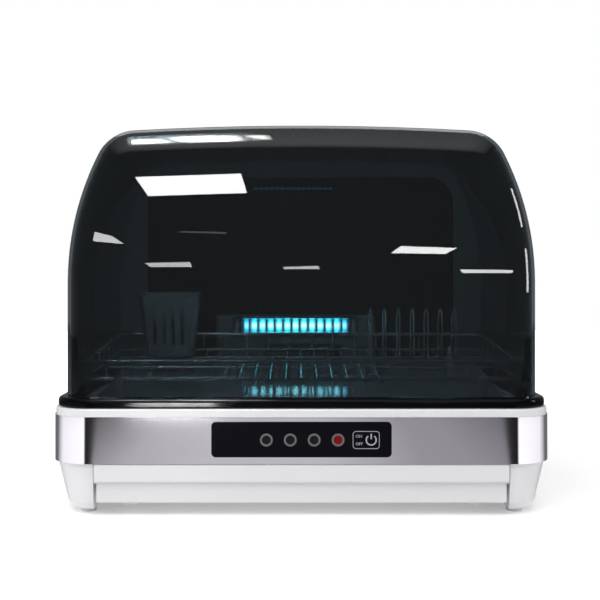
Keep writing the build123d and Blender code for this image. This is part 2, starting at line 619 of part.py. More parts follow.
with BuildPart() as lamp_caps:
    for side in (-1, 1):
        with Locations((HOUSING_X + side * (LAMP_LENGTH - LAMP_CAP) / 2, LAMP_Y, LAMP_Z)):
            Cylinder(LAMP_R, LAMP_CAP, rotation=(0, 90, 0))
        lamp_pins(side)
lamp_caps.part.label = "lamp_caps"
export_step(lamp_caps.part, "parts/lamp_caps.step")

with BuildPart() as lamp_holders:
    for side in (-1, 1):
        x = HOUSING_X + side * (LAMP_LENGTH / 2 + 5)
        block(x - 5, x + 5, LAMP_Y - 8, WALL_FRONT, LAMP_Z - 9, LAMP_Z + 9)
        lamp_pins(side, mode=Mode.SUBTRACT)
lamp_holders.part.label = "lamp_holders"
export_step(lamp_holders.part, "parts/lamp_holders.step")

REFLECTOR_R = 10.6
REFLECTOR_SHEET = 0.8
with BuildPart() as lamp_reflector:
    # half-round trough behind the lamp, on a rib from the back wall
    with BuildSketch(Plane.YZ.offset(HOUSING_X - LAMP_LENGTH / 2 + 1)):
        with Locations((LAMP_Y, LAMP_Z)):
            Circle(REFLECTOR_R)
            Circle(REFLECTOR_R - REFLECTOR_SHEET, mode=Mode.SUBTRACT)
        with Locations((LAMP_Y - 20, LAMP_Z)):
            Rectangle(40, 40, mode=Mode.SUBTRACT)
        rib_front = LAMP_Y + REFLECTOR_R - REFLECTOR_SHEET
        with Locations(((rib_front + WALL_FRONT) / 2, LAMP_Z)):
            Rectangle(WALL_FRONT - rib_front, 5)
    extrude(amount=LAMP_LENGTH - 2)
lamp_reflector.part.label = "lamp_reflector"
export_step(lamp_reflector.part, "parts/lamp_reflector.step")

with BuildPart() as outlet_louvre:
    # frame with one broad slat and four uprights
    with BuildSketch(Plane.XZ.offset(-SHELF_FRONT)):
        with Locations((OUTLET_X, (OUTLET_BOTTOM + OUTLET_TOP) / 2)):
            Rectangle(2 * OUTLET_HALF_W, OUTLET_TOP - OUTLET_BOTTOM)
            Rectangle(2 * OUTLET_HALF_W - 3, OUTLET_TOP - OUTLET_BOTTOM - 3, mode=Mode.SUBTRACT)
            with Locations((0, 1.8)):
                Rectangle(2 * OUTLET_HALF_W, 3.6)
            with GridLocations(20, 0, 4, 1):
                Rectangle(1.2, OUTLET_TOP - OUTLET_BOTTOM)
    extrude(amount=-5)
outlet_louvre.part.label = "outlet_louvre"
export_step(outlet_louvre.part, "parts/outlet_louvre.step")

HEATER_FINS = 19
with BuildPart() as heater:
    # ceramic heater: its frame stands on the housing's floor round the port, with fins across the air
    with BuildSketch(Plane.XY.offset(PAN_HIGH + THIN_WALL)):
        with Locations((HOUSING_X, (PORT_FRONT + PORT_BACK) / 2)):
            Rectangle(2 * PORT_HALF_W + 6, PORT_BACK - PORT_FRONT + 5)
            with GridLocations(4.5, 0, HEATER_FINS + 1, 1):
                Rectangle(3.6, PORT_BACK - PORT_FRONT - 4, mode=Mode.SUBTRACT)
    extrude(amount=16)
heater.part.label = "heater"
export_step(heater.part, "parts/heater.step")


def scroll_outline(inset):
    """The blower's volute: two widening quarter arcs round the impeller, then the straight throat up."""
    near_r = SCROLL_NEAR_R - inset
    tongue_turn = math.degrees(math.acos((THROAT_X - inset) / near_r))
    start = (FAN_X + near_r, FAN_Z)
    with BuildLine() as outline:
        lower_right = JernArc(start, (0, -1), near_r, -90)
        lower_left = JernArc(lower_right @ 1, (-1, 0), SCROLL_FAR_R - inset, -90)
        tongue = JernArc(start, (0, 1), near_r, tongue_turn)
        Polyline(lower_left @ 1, ((lower_left @ 1).X, SCROLL_TOP), ((tongue @ 1).X, SCROLL_TOP), tongue @ 1)
    return outline.line


with BuildPart() as scroll_room:
    with BuildSketch(Plane.XZ.offset(-FAN_FRONT - SCROLL_WALL)):
        add(scroll_outline(SCROLL_WALL))
        make_face()
    extrude(amount=FAN_FRONT - FAN_BACK + 2 * SCROLL_WALL)

with BuildPart() as fan_scroll:
    with BuildSketch(Plane.XZ.offset(-FAN_FRONT)):
        add(scroll_outline(0))
        make_face()
    extrude(amount=FAN_FRONT - FAN_BACK)
    # two feet that stand on the bottom cover
    for x in (FAN_X - 16, FAN_X + 16):
        block(x - 4, x + 4, FAN_FRONT, FAN_BACK, TUB_BOTTOM, FAN_Z - 24)
    add(scroll_room.part, mode=Mode.SUBTRACT)
    fore_aft_pin(FAN_X, FAN_BACK - 5, FAN_BACK + 5, FAN_Z, 21, mode=Mode.SUBTRACT)
    fore_aft_pin(FAN_X, FAN_FRONT - 5, FAN_FRONT + 5, FAN_Z, 6, mode=Mode.SUBTRACT)
fan_scroll.part.label = "fan_scroll"
export_step(fan_scroll.part, "parts/fan_scroll.step")

# one forward-curved blade, seen along the shaft
with BuildSketch() as blade:
    with BuildLine():
        ThreePointArc((-3.4, -0.6), (0, 1.0), (3.0, 3.6))
        ThreePointArc((3.0, 3.6), (0.6, 0.2), (-3.4, -1.4))
        Line((-3.4, -1.4), (-3.4, -0.6))
    make_face()

WHEEL_FRONT = 104.0
PLATE = 2.0
BLADE_LENGTH = 22.0
HUB_R = 5.5
BLADE_R = 24.8
with BuildPart() as fan_impeller:
    # back plate with its hub, blades and front ring of a centrifugal wheel
    with BuildSketch(Plane.XZ.offset(-WHEEL_FRONT)):
        with Locations((FAN_X, FAN_Z)):
            Circle(IMPELLER_R)
            Circle(PIN_R, mode=Mode.SUBTRACT)
    extrude(amount=-PLATE)
    with BuildSketch(Plane.XZ.offset(-WHEEL_FRONT - PLATE)):
        with Locations((FAN_X, FAN_Z)):
            Circle(HUB_R)
            Circle(PIN_R, mode=Mode.SUBTRACT)
    extrude(amount=-8)
    with BuildSketch(Plane.XZ.offset(-WHEEL_FRONT - PLATE)):
        with Locations((FAN_X, FAN_Z)):
            with PolarLocations(BLADE_R, BLADE_COUNT):
                add(blade.sketch)
    extrude(amount=-BLADE_LENGTH)
    with BuildSketch(Plane.XZ.offset(1 - WHEEL_FRONT - PLATE - BLADE_LENGTH)):
        with Locations((FAN_X, FAN_Z)):
            Circle(IMPELLER_R + 0.4)
            Circle(IMPELLER_R - 5, mode=Mode.SUBTRACT)
    extrude(amount=-PLATE)
fan_impeller.part.label = "fan_impeller"
export_step(fan_impeller.part, "parts/fan_impeller.step")

MOTOR_FRONT = 89.0
with BuildPart() as fan_shaft:
    fore_aft_pin(FAN_X, MOTOR_FRONT + 2, WHEEL_FRONT + PLATE + 8, FAN_Z, PIN_R)
fan_shaft.part.label = "fan_shaft"
export_step(fan_shaft.part, "parts/fan_shaft.step")

with BuildPart() as fan_motor:
    # round motor on a strap across the front of the scroll
    fore_aft_pin(FAN_X, MOTOR_FRONT, FAN_FRONT, FAN_Z, MOTOR_R)
    block(FAN_X - 26, FAN_X + 26, FAN_FRONT - 2, FAN_FRONT, FAN_Z - 7, FAN_Z + 7)
    fore_aft_pin(FAN_X, MOTOR_FRONT - 1, FAN_FRONT + 1, FAN_Z, PIN_R + RUNNING, mode=Mode.SUBTRACT)
fan_motor.part.label = "fan_motor"
export_step(fan_motor.part, "parts/fan_motor.step")

with BuildPart() as air_duct:
    # square tube from the throat of the scroll up through the deck into the shelf
    block(DUCT_LEFT, DUCT_RIGHT, FAN_FRONT, FAN_BACK, SCROLL_TOP, DECK_LEDGE)
    block(DUCT_LEFT + 2, DUCT_RIGHT - 2, FAN_FRONT + 2, FAN_BACK - 2, SCROLL_TOP - 1, DECK_LEDGE + 1,
          mode=Mode.SUBTRACT)
air_duct.part.label = "air_duct"
export_step(air_duct.part, "parts/air_duct.step")

with BuildPart() as thermal_cutout:
    with Locations((60, 118, PAN_HIGH - WALL)):
        Cylinder(7, 2, align=(Align.CENTER, Align.CENTER, Align.MAX))
        Cylinder(5, 6, align=(Align.CENTER, Align.CENTER, Align.MAX))
thermal_cutout.part.label = "thermal_cutout"
export_step(thermal_cutout.part, "parts/thermal_cutout.step")

BALLAST_X = 107.0
with BuildPart() as lamp_ballast:
    # laminated choke on a foot plate that lies on the bottom cover
    block(BALLAST_X - 45, BALLAST_X + 45, 104, 130, TUB_BOTTOM, TUB_BOTTOM + 24)
    block(BALLAST_X - 52, BALLAST_X + 52, 112, 122, TUB_BOTTOM, TUB_BOTTOM + 1.5)
    fillet(lamp_ballast.faces().sort_by(Axis.Z)[-1].edges(), 1.5)
lamp_ballast.part.label = "lamp_ballast"
export_step(lamp_ballast.part, "parts/lamp_ballast.step")

TERMINAL_X = 166.0
TERMINAL_Y = 152.0
with BuildPart() as terminal_block:
    # three screw terminals in a row
    block(TERMINAL_X - 18, TERMINAL_X + 18, TERMINAL_Y - 7, TERMINAL_Y + 7, TUB_BOTTOM, TUB_BOTTOM + 12)
    with Locations((TERMINAL_X, TERMINAL_Y, TUB_BOTTOM + 12)):
        with GridLocations(11, 0, 3, 1):
            Cylinder(2.6, 8, mode=Mode.SUBTRACT)
terminal_block.part.label = "terminal_block"
export_step(terminal_block.part, "parts/terminal_block.step")

VENT_SLOTS = 10
with BuildPart() as vent_grille:
    # slotted panel seated on the flat of the back wall
    with BuildSketch(Plane.XZ.offset(-TUB_TOP_HALF_D)):
        with Locations((0, VENT_Z)):
            RectangleRounded(2 * VENT_HALF_W, 2 * VENT_HALF_H, 4)
            with GridLocations(11, 0, VENT_SLOTS, 1):
                SlotOverall(24, 5, rotation=90, mode=Mode.SUBTRACT)
    extrude(amount=-2)
vent_grille.part.label = "vent_grille"
export_step(vent_grille.part, "parts/vent_grille.step")

with BuildPart() as cord_gland:
    # bush through the wall with a collar outside
    bore = GLAND_Z + 3.6
    with BuildSketch(Plane.YZ.offset(GLAND_X)):
        with BuildLine():
            Polyline((178, bore), (178, GLAND_Z + GLAND_R), (BACK - 4, GLAND_Z + GLAND_R),
                     (BACK - 4, GLAND_Z + 9), (BACK - 1, GLAND_Z + 9), (BACK, GLAND_Z + 7.6),
                     (BACK, bore), close=True)
        make_face()
    revolve(axis=Axis((GLAND_X, 0, GLAND_Z), (0, 1, 0)))
cord_gland.part.label = "cord_gland"
export_step(cord_gland.part, "parts/cord_gland.step")

# ======== Hinge ========

with BuildPart() as hinge_brackets:
    # two ears on a foot plate, at each side
    for x in (-HINGE_X, HINGE_X):
        for ear in (x - BRACKET_HALF_W, x + BRACKET_HALF_W - EAR):
            with BuildSketch(Plane.YZ.offset(ear)):
                with Locations((HINGE_Y, HINGE_Z)):
                    Circle(KNUCKLE_R)
                with Locations((HINGE_Y, (HINGE_Z + DECK_TOP) / 2)):
                    Rectangle(2 * KNUCKLE_R, HINGE_Z - DECK_TOP)
                with Locations((HINGE_Y, HINGE_Z)):
                    Circle(PIN_R, mode=Mode.SUBTRACT)
            extrude(amount=EAR)
        block(x - BRACKET_HALF_W, x + BRACKET_HALF_W, HINGE_Y - KNUCKLE_R, HINGE_Y + KNUCKLE_R,
              DECK_TOP, DECK_TOP + 1.6)
hinge_brackets.part.label = "hinge_brackets"
export_step(hinge_brackets.part, "parts/hinge_brackets.step")

with BuildPart() as hinge_pins:
    with Locations((0, HINGE_Y, HINGE_Z)):
        with GridLocations(2 * HINGE_X, 0, 2, 1):
            Cylinder(PIN_R, 2 * BRACKET_HALF_W, rotation=(0, 90, 0))
hinge_pins.part.label = "hinge_pins"
export_step(hinge_pins.part, "parts/hinge_pins.step")

ARM_HALF_W = BRACKET_HALF_W - EAR - 0.3
RIM_BACK = DOME_BACK + RIM_OVERHANG
with BuildPart() as lid_arms:
    # knuckle between the ears, with an arm to the back of the rim
    for x in (-HINGE_X, HINGE_X):
        with BuildSketch(Plane.YZ.offset(x - ARM_HALF_W)):
            with Locations((HINGE_Y, HINGE_Z)):
                Circle(KNUCKLE_R)
            Polygon((RIM_BACK, RIM_BOTTOM + 1.5), (RIM_BACK, RIM_TOP - 3.2),
                    (HINGE_Y, HINGE_Z + KNUCKLE_R), (HINGE_Y, HINGE_Z - 4), align=None)
            with Locations((HINGE_Y, HINGE_Z)):
                Circle(PIN_R + RUNNING, mode=Mode.SUBTRACT)
        extrude(amount=2 * ARM_HALF_W)
lid_arms.part.label = "lid_arms"
export_step(lid_arms.part, "parts/lid_arms.step")

MAGNET_X = 149.0
MAGNET_Y = DOME_FRONT - 3.25
MAGNET_Z = RIM_BOTTOM + 3.2
with BuildPart() as lid_sensor:
    # reed switch under the deck, below the lid's magnet
    block(MAGNET_X - 9, MAGNET_X + 9, MAGNET_Y + 0.75, MAGNET_Y + 6.75, BAND_TOP - 5, BAND_TOP)
lid_sensor.part.label = "lid_sensor"
export_step(lid_sensor.part, "parts/lid_sensor.step")

# ======== Lid ========


def dome_section(inset):
    """Outline of the dome from the front: upright walls that lean in, tight shoulders, a nearly flat crown."""
    half_w = DOME_HALF_W - inset
    lean_r = LEAN_R - inset
    shoulder_r = SHOULDER_R - inset
    turn = math.radians(LEAN_TURN)
    slope = math.radians(CROWN_SLOPE)
    crown_x = half_w - lean_r * (1 - math.cos(turn)) - shoulder_r * (math.cos(turn) - math.sin(slope))
    crown_rise = crown_x * math.tan(slope / 2)
    shoulder_rise = shoulder_r * (math.cos(slope) - math.sin(turn))
    lean_z = HEIGHT - inset - crown_rise - lean_r * math.sin(turn) - shoulder_rise
    with BuildLine() as outline:
        wall = Line((half_w, DOME_FOOT), (half_w, lean_z))
        lean = JernArc(wall @ 1, (0, 1), lean_r, LEAN_TURN)
        shoulder = JernArc(lean @ 1, lean % 1, shoulder_r, SHOULDER_TURN)
        mirror(about=Plane.YZ)
        corner = shoulder @ 1
        ThreePointArc(corner, (0, HEIGHT - inset), (-corner.X, corner.Y))
        Line((-half_w, DOME_FOOT), (half_w, DOME_FOOT))
    return outline.line


def end_edges(solid):
    """The edges round the front and back of a dome, without its foot."""
    ends = solid.faces().sort_by(Axis.Y)
    rounded = ends[0].edges() + ends[-1].edges()
    return rounded.filter_by(lambda edge: edge.center().Z > DOME_FOOT + 1)


with BuildPart() as dome_room:
    with BuildSketch(Plane.XZ.offset(-DOME_FRONT - WALL)):
        add(dome_section(WALL))
        make_face()
    extrude(amount=DOME_FRONT - DOME_BACK + 2 * WALL)
    fillet(end_edges(dome_room), DOME_EDGE_R - WALL)

with BuildPart() as lid_cover:
    with BuildSketch(Plane.XZ.offset(-DOME_FRONT)):
        add(dome_section(0))
        make_face()
    extrude(amount=DOME_FRONT - DOME_BACK)
    fillet(end_edges(lid_cover), DOME_EDGE_R)
    add(dome_room.part, mode=Mode.SUBTRACT)
lid_cover.part.label = "lid_cover"
export_step(lid_cover.part, "parts/lid_cover.step")

SEAL_OUTER = 5.0         # beyond the dome
SEAL_INNER = 1.5
with BuildPart() as lid_rim:
    with BuildSketch(Plane.XY.offset(RIM_BOTTOM)):
        dome_plan(RIM_OVERHANG)
        dome_plan(-2 * WALL, mode=Mode.SUBTRACT)
    extrude(amount=RIM_TOP - RIM_BOTTOM)
    fillet(lid_rim.faces().sort_by(Axis.Z)[-1].outer_wire().edges(), 4)
    fillet(lid_rim.faces().sort_by(Axis.Z)[0].outer_wire().edges(), 1.5)
    # channel for the foot of the dome, groove for the seal and the magnet's seat
    with BuildSketch(Plane.XY.offset(DOME_FOOT)):
        dome_plan(0)
        dome_plan(-WALL, mode=Mode.SUBTRACT)
    extrude(amount=20, mode=Mode.SUBTRACT)
    with BuildSketch(Plane.XY.offset(RIM_BOTTOM)):
        dome_plan(SEAL_OUTER)
        dome_plan(SEAL_INNER, mode=Mode.SUBTRACT)
    extrude(amount=SEAL_DEPTH, mode=Mode.SUBTRACT)
    with Locations((MAGNET_X, MAGNET_Y, MAGNET_Z)):
        Cylinder(2.5, 2.4, mode=Mode.SUBTRACT)
lid_rim.part.label = "lid_rim"
export_step(lid_rim.part, "parts/lid_rim.step")

SEAL_BOTTOM = DECK_TOP + 0.3
with BuildPart() as lid_seal:
    with BuildSketch(Plane.XY.offset(SEAL_BOTTOM)):
        dome_plan(SEAL_OUTER)
        dome_plan(SEAL_INNER, mode=Mode.SUBTRACT)
    extrude(amount=RIM_BOTTOM + SEAL_DEPTH - SEAL_BOTTOM)
lid_seal.part.label = "lid_seal"
export_step(lid_seal.part, "parts/lid_seal.step")

with BuildPart() as lid_magnet:
    with Locations((MAGNET_X, MAGNET_Y, MAGNET_Z)):
        Cylinder(2.5, 2.4)
lid_magnet.part.label = "lid_magnet"
export_step(lid_magnet.part, "parts/lid_magnet.step")

# ======== Rack and cutlery holder ========


def hoop(lift, wire):
    """A closed rounded hoop of wire, lying parallel to the rack's base."""
    with BuildSketch(RACK_PLANE.offset(lift)) as outline:
        RectangleRounded(2 * RACK_HALF_W, 2 * RACK_HALF_L, RACK_R)
    path = outline.sketch.face().outer_wire()
    with BuildSketch(Plane(path @ 0, z_dir=path % 0)) as section:
        Circle(wire / 2)
    sweep(section.sketch, path=path)


with BuildPart() as rack_hoops:
    hoop(RACK_RIM, RIM_WIRE)
    hoop(0, WIRE)
rack_hoops.part.label = "rack_hoops"
export_step(rack_hoops.part, "parts/rack_hoops.step")

UPRIGHT_INSET = (RIM_WIRE + FINE_WIRE) / 2 - 0.8
with BuildPart(RACK_PLANE) as rack_uprights:
    # short wires from the base hoop to the rim, on the inside
    with Locations((0, 0, RACK_RIM / 2)):
        with GridLocations(27, 2 * (RACK_HALF_L - UPRIGHT_INSET), 16, 2):
            Cylinder(FINE_WIRE / 2, RACK_RIM)
        with GridLocations(2 * (RACK_HALF_W - UPRIGHT_INSET), 30, 2, 6):
            Cylinder(FINE_WIRE / 2, RACK_RIM)
rack_uprights.part.label = "rack_uprights"
export_step(rack_uprights.part, "parts/rack_uprights.step")

FLOOR_WIRE_LIFT = WELD - (WIRE + FINE_WIRE) / 2
CROSS_WIRE_LIFT = FLOOR_WIRE_LIFT + WELD - (WIRE + FINE_WIRE) / 2
with BuildPart(RACK_PLANE) as rack_floor:
    # wires from front to back under the base hoop, and three across below them
    with Locations((0, 0, FLOOR_WIRE_LIFT)):
        with GridLocations(FLOOR_PITCH, 0, FLOOR_WIRES, 1):
            Cylinder(FINE_WIRE / 2, 2 * RACK_HALF_L + 2, rotation=(90, 0, 0))
    with Locations((0, 0, CROSS_WIRE_LIFT)):
        with GridLocations(0, 74, 1, 3):
            Cylinder(WIRE / 2, 2 * RACK_HALF_W - 8, rotation=(0, 90, 0))
rack_floor.part.label = "rack_floor"
export_step(rack_floor.part, "parts/rack_floor.step")

PRONG_R = (PRONG_BACK - PRONG_FRONT) / 2
with BuildPart() as plate_prongs:
    # a row of hairpin loops that hold plates on edge, each standing on a floor wire
    for i in range(PRONG_COUNT):
        side_plane = Plane(
            RACK_PLANE.from_local_coords((PRONG_FIRST_X + i * FLOOR_PITCH, 0, 0)),
            x_dir=RACK_PLANE.y_dir, z_dir=RACK_PLANE.x_dir,
        )
        with BuildLine(side_plane) as hairpin:
            front_leg = Line((PRONG_FRONT, FLOOR_WIRE_LIFT), (PRONG_FRONT, PRONG_TOP - PRONG_R))
            bend = ThreePointArc(front_leg @ 1, (PRONG_FRONT + PRONG_R, PRONG_TOP),
                                 (PRONG_BACK, PRONG_TOP - PRONG_R))
            Line(bend @ 1, (PRONG_BACK, FLOOR_WIRE_LIFT))
        path = hairpin.wire()
        with BuildSketch(Plane(path @ 0, z_dir=path % 0)) as section:
            Circle(FINE_WIRE / 2)
        sweep(section.sketch, path=path)
plate_prongs.part.label = "plate_prongs"
export_step(plate_prongs.part, "parts/plate_prongs.step")

FOOT_CLEAR = 0.4
FOOT_ABOVE_WIRE = 2.6
with BuildPart(FLOOR_PLANE) as rack_feet:
    # four sleeves that grip the base hoop and stand square on the sloping floor
    for u in (-RACK_FOOT_X, RACK_FOOT_X):
        for v in (-RACK_HALF_L, RACK_HALF_L):
            grip = FLOOR_PLANE.to_local_coords(RACK_PLANE.from_local_coords((u, v, 0)))
            top = grip.Z + FOOT_ABOVE_WIRE
            with Locations((u, grip.Y, (top + FOOT_CLEAR) / 2)):
                Cylinder(RACK_FOOT_R, top - FOOT_CLEAR)
            with Locations((u, grip.Y, grip.Z)):
                Cylinder(WIRE / 2, 14, rotation=(0, 90, 0), mode=Mode.SUBTRACT)
rack_feet.part.label = "rack_feet"
export_step(rack_feet.part, "parts/rack_feet.step")

HOLDER_FOOT = FLOOR_WIRE_LIFT + FINE_WIRE / 2 + 0.3
HOLDER_TOP = HOLDER_FOOT + HOLDER_HEIGHT
HOLDER_FOOT_HALF = (28.0, 20.0)
HOLDER_TOP_HALF = (36.0, 25.0)
HOLDER_R = 8.0


def holder_outline(lift, halves, inset):
    """One level of the tapered holder."""
    with BuildSketch(RACK_PLANE.offset(lift)) as level:
        with Locations((HOLDER_X, HOLDER_V)):
            RectangleRounded(2 * (halves[0] - inset), 2 * (halves[1] - inset), HOLDER_R - inset)
    return level.sketch


with BuildPart() as cutlery_holder:
    # tapered open box with upright slots in all four sides
    foot = holder_outline(HOLDER_FOOT, HOLDER_FOOT_HALF, 0)
    mouth = holder_outline(HOLDER_TOP, HOLDER_TOP_HALF, 0)
    loft([foot, mouth], ruled=True)
    inner_foot = holder_outline(HOLDER_FOOT + 2, HOLDER_FOOT_HALF, HOLDER_WALL)
    inner_mouth = holder_outline(HOLDER_TOP + 1, HOLDER_TOP_HALF, HOLDER_WALL)
    loft([inner_foot, inner_mouth], ruled=True, mode=Mode.SUBTRACT)
    holder_mid = RACK_PLANE.from_local_coords((HOLDER_X, HOLDER_V, (HOLDER_FOOT + HOLDER_TOP) / 2))
    with BuildSketch(Plane(holder_mid, x_dir=RACK_PLANE.x_dir, z_dir=RACK_PLANE.y_dir)):
        with GridLocations(11, 0, 4, 1):
            SlotOverall(46, 4, rotation=90)
    extrude(amount=40, both=True, mode=Mode.SUBTRACT)
    with BuildSketch(Plane(holder_mid, x_dir=RACK_PLANE.y_dir, z_dir=RACK_PLANE.x_dir)):
        with GridLocations(11, 0, 2, 1):
            SlotOverall(46, 4, rotation=90)
    extrude(amount=60, both=True, mode=Mode.SUBTRACT)
cutlery_holder.part.label = "cutlery_holder"
export_step(cutlery_holder.part, "parts/cutlery_holder.step")
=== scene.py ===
# %% [markdown]
# # Dressing a dish sterilizer cabinet
# The cabinet is a white base with a steel band, a smoke-tinted dome and a lit rack room behind it. Its
# solid pieces arrive already modelled, at their real size in metres, and they stay where they are. This
# notebook adds what a solid can't say: finishes, printing, light and a camera.
#
# Each cell is one step, and prints what it made or measured.

# %% Load the cabinet
import json
import math

import bmesh
import bpy
from mathutils import Matrix, Vector


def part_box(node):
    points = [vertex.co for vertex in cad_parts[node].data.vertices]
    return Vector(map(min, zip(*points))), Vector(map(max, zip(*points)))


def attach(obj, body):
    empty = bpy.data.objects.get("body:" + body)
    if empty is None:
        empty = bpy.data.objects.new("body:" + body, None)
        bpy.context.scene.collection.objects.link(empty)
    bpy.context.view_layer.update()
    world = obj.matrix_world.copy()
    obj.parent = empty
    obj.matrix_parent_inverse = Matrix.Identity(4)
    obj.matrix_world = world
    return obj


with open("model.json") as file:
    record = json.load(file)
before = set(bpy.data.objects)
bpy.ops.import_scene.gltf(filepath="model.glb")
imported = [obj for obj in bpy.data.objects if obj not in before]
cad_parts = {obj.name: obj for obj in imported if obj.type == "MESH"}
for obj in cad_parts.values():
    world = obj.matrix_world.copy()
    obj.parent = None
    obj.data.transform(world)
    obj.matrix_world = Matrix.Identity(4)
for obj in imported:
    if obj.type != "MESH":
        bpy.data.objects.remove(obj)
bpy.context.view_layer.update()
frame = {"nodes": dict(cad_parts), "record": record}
nodes = frame["nodes"]

# %% [markdown]
# ## The camera
# The photograph looks straight at the front, level, from about a metre away. Tilting a camera would make
# the uprights lean, so this one stays level, and a small vertical shift puts the cabinet where it stands in
# the frame, as a view camera does. The picture is square, so one number of pixels serves both ways.

# %% Camera at the photograph's place
PHOTO_SIDE = 600             # pixels
SENSOR = 36.0                # millimetres
FOCAL_PX = 1000              # one metre away, one pixel is one millimetre
HORIZON_PX = 272             # row of the photograph at eye height
CENTRE_PX = 301.5            # column of the photograph on the cabinet's middle
EYE_X = -0.004
EYE_HEIGHT = 0.246
EYE_DISTANCE = 1.0           # from the panel's face
panel_face_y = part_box("control_panel")[0][1]
eye_off_middle_px = CENTRE_PX + EYE_X / EYE_DISTANCE * FOCAL_PX - PHOTO_SIDE / 2

camera_data = bpy.data.cameras.new("photo_camera")
camera_data.sensor_width = SENSOR
camera_data.lens = FOCAL_PX * SENSOR / PHOTO_SIDE
camera_data.shift_x = -eye_off_middle_px / PHOTO_SIDE
camera_data.shift_y = (HORIZON_PX - PHOTO_SIDE / 2) / PHOTO_SIDE
camera = bpy.data.objects.new("photo_camera", camera_data)
camera.location = (EYE_X, panel_face_y - EYE_DISTANCE, EYE_HEIGHT)
camera.rotation_euler = (math.radians(90), 0, 0)
bpy.context.scene.collection.objects.link(camera)
bpy.context.scene.camera = camera
print("lens", camera_data.lens, "shift", camera_data.shift_x, camera_data.shift_y)

# %% [markdown]
# Later, cards that stand for the room's lights go where the photograph shows their reflections. For that, a
# pixel is followed out from the eye: the further away, the wider the step that one pixel takes.

# %% A point in space from a pixel
def spot_seen_at(column, row, depth):
    """The point in space that the photograph shows at this pixel, at a distance from the camera."""
    return Vector((
        EYE_X + (column - CENTRE_PX - EYE_X * FOCAL_PX) / FOCAL_PX * depth,
        camera.location.y + depth,
        EYE_HEIGHT - (row - HORIZON_PX) / FOCAL_PX * depth,
    ))


print("the picture's middle, at the panel:", spot_seen_at(CENTRE_PX, HORIZON_PX, EYE_DISTANCE))

# %% [markdown]
# ## Shader maths as plain expressions
# A material is a small program of nodes, joined from socket to socket. It could be wired by hand, a link at
# a time, but then its sums are hard to read. Here a small class wraps a socket and answers to +, -, * and
# /, so the program reads as arithmetic: each operator adds one Math node and hands back its output.

# %% Socket wrapper
class Wire:
    """One output of a node. Arithmetic on it adds Math nodes."""

    def __init__(self, program, socket):
        self.program = program
        self.socket = socket

    def math(self, operation, other=0.0, flip=False):
        """A Math node on this value and, where the operation takes two, on another."""
        first, second = (other, self) if flip else (self, other)
        return self.program.node("ShaderNodeMath", {"operation": operation}, {0: first, 1: second})

    def __add__(self, other):
        return self.math("ADD", other)

    def __radd__(self, other):
        return self.math("ADD", other, flip=True)

    def __sub__(self, other):
        return self.math("SUBTRACT", other)

    def __rsub__(self, other):
        return self.math("SUBTRACT", other, flip=True)

    def __mul__(self, other):
        return self.math("MULTIPLY", other)

    def __rmul__(self, other):
        return self.math("MULTIPLY", other, flip=True)

    def __truediv__(self, other):
        return self.math("DIVIDE", other)

    def clamped(self, low, high):
        return self.math("MAXIMUM", low).math("MINIMUM", high)


print("sums on sockets ready")

# %% [markdown]
# Everything that isn't arithmetic comes from one method, which takes a node's type, its settings and the
# values or links of its sockets. The few kinds of node that are used again and again get a short name of
# their own.

# %% Node programs
class NodeProgram:
    """A node tree being built, of a material or of the world."""

    def __init__(self, tree):
        self.tree = tree

    def put(self, socket, value):
        """Links a wire to an input, or sets the input to a plain value."""
        if isinstance(value, Wire):
            self.tree.links.new(value.socket, socket)
        else:
            socket.default_value = value

    def node(self, kind, settings, inputs, output=0):
        """Adds a node and hands back one of its outputs, by name or by number."""
        made = self.tree.nodes.new(kind)
        for name, value in settings.items():
            if name == "stops":
                set_stops(made.color_ramp.elements, value)
            else:
                setattr(made, name, value)
        for name, value in inputs.items():
            self.put(made.inputs[name], value)
        return Wire(self, made.outputs[output])

    def axis(self, vector, letter):
        """One of the three numbers of a vector."""
        return self.node("ShaderNodeSeparateXYZ", {}, {0: vector}, letter)

    def ray(self, kind):
        """1 where the ray that asks is of this kind, otherwise 0."""
        return self.node("ShaderNodeLightPath", {}, {}, f"Is {kind} Ray")

    def ramp(self, value, stops):
        """Colours along a value, each given by its place."""
        return self.node("ShaderNodeValToRGB", {"stops": stops}, {0: value})

    def ease(self, value, start, end, low, high, curve="SMOOTHSTEP"):
        """Goes from low to high while the value goes from start to end."""
        return self.node("ShaderNodeMapRange", {"interpolation_type": curve}, {
            "Value": value, "From Min": start, "From Max": end, "To Min": low, "To Max": high,
        })


def set_stops(elements, stops):
    """Gives a colour ramp its stops, from left to right."""
    while len(elements) < len(stops):
        elements.new(0.5)
    for element, (place, colour) in zip(elements, stops):
        element.position = place
        element.color = (*colour, 1)


print("node programs ready")

# %% [markdown]
# A finish is such a program that ends in the Principled shader, the one that covers plastic, metal and
# glass alike. Patterns on it read Object coordinates: metres in the cabinet's own frame, so a grain of half
# a millimetre is half a millimetre on every piece, and it moves with the piece.

# %% Finishes
finish_called = {}


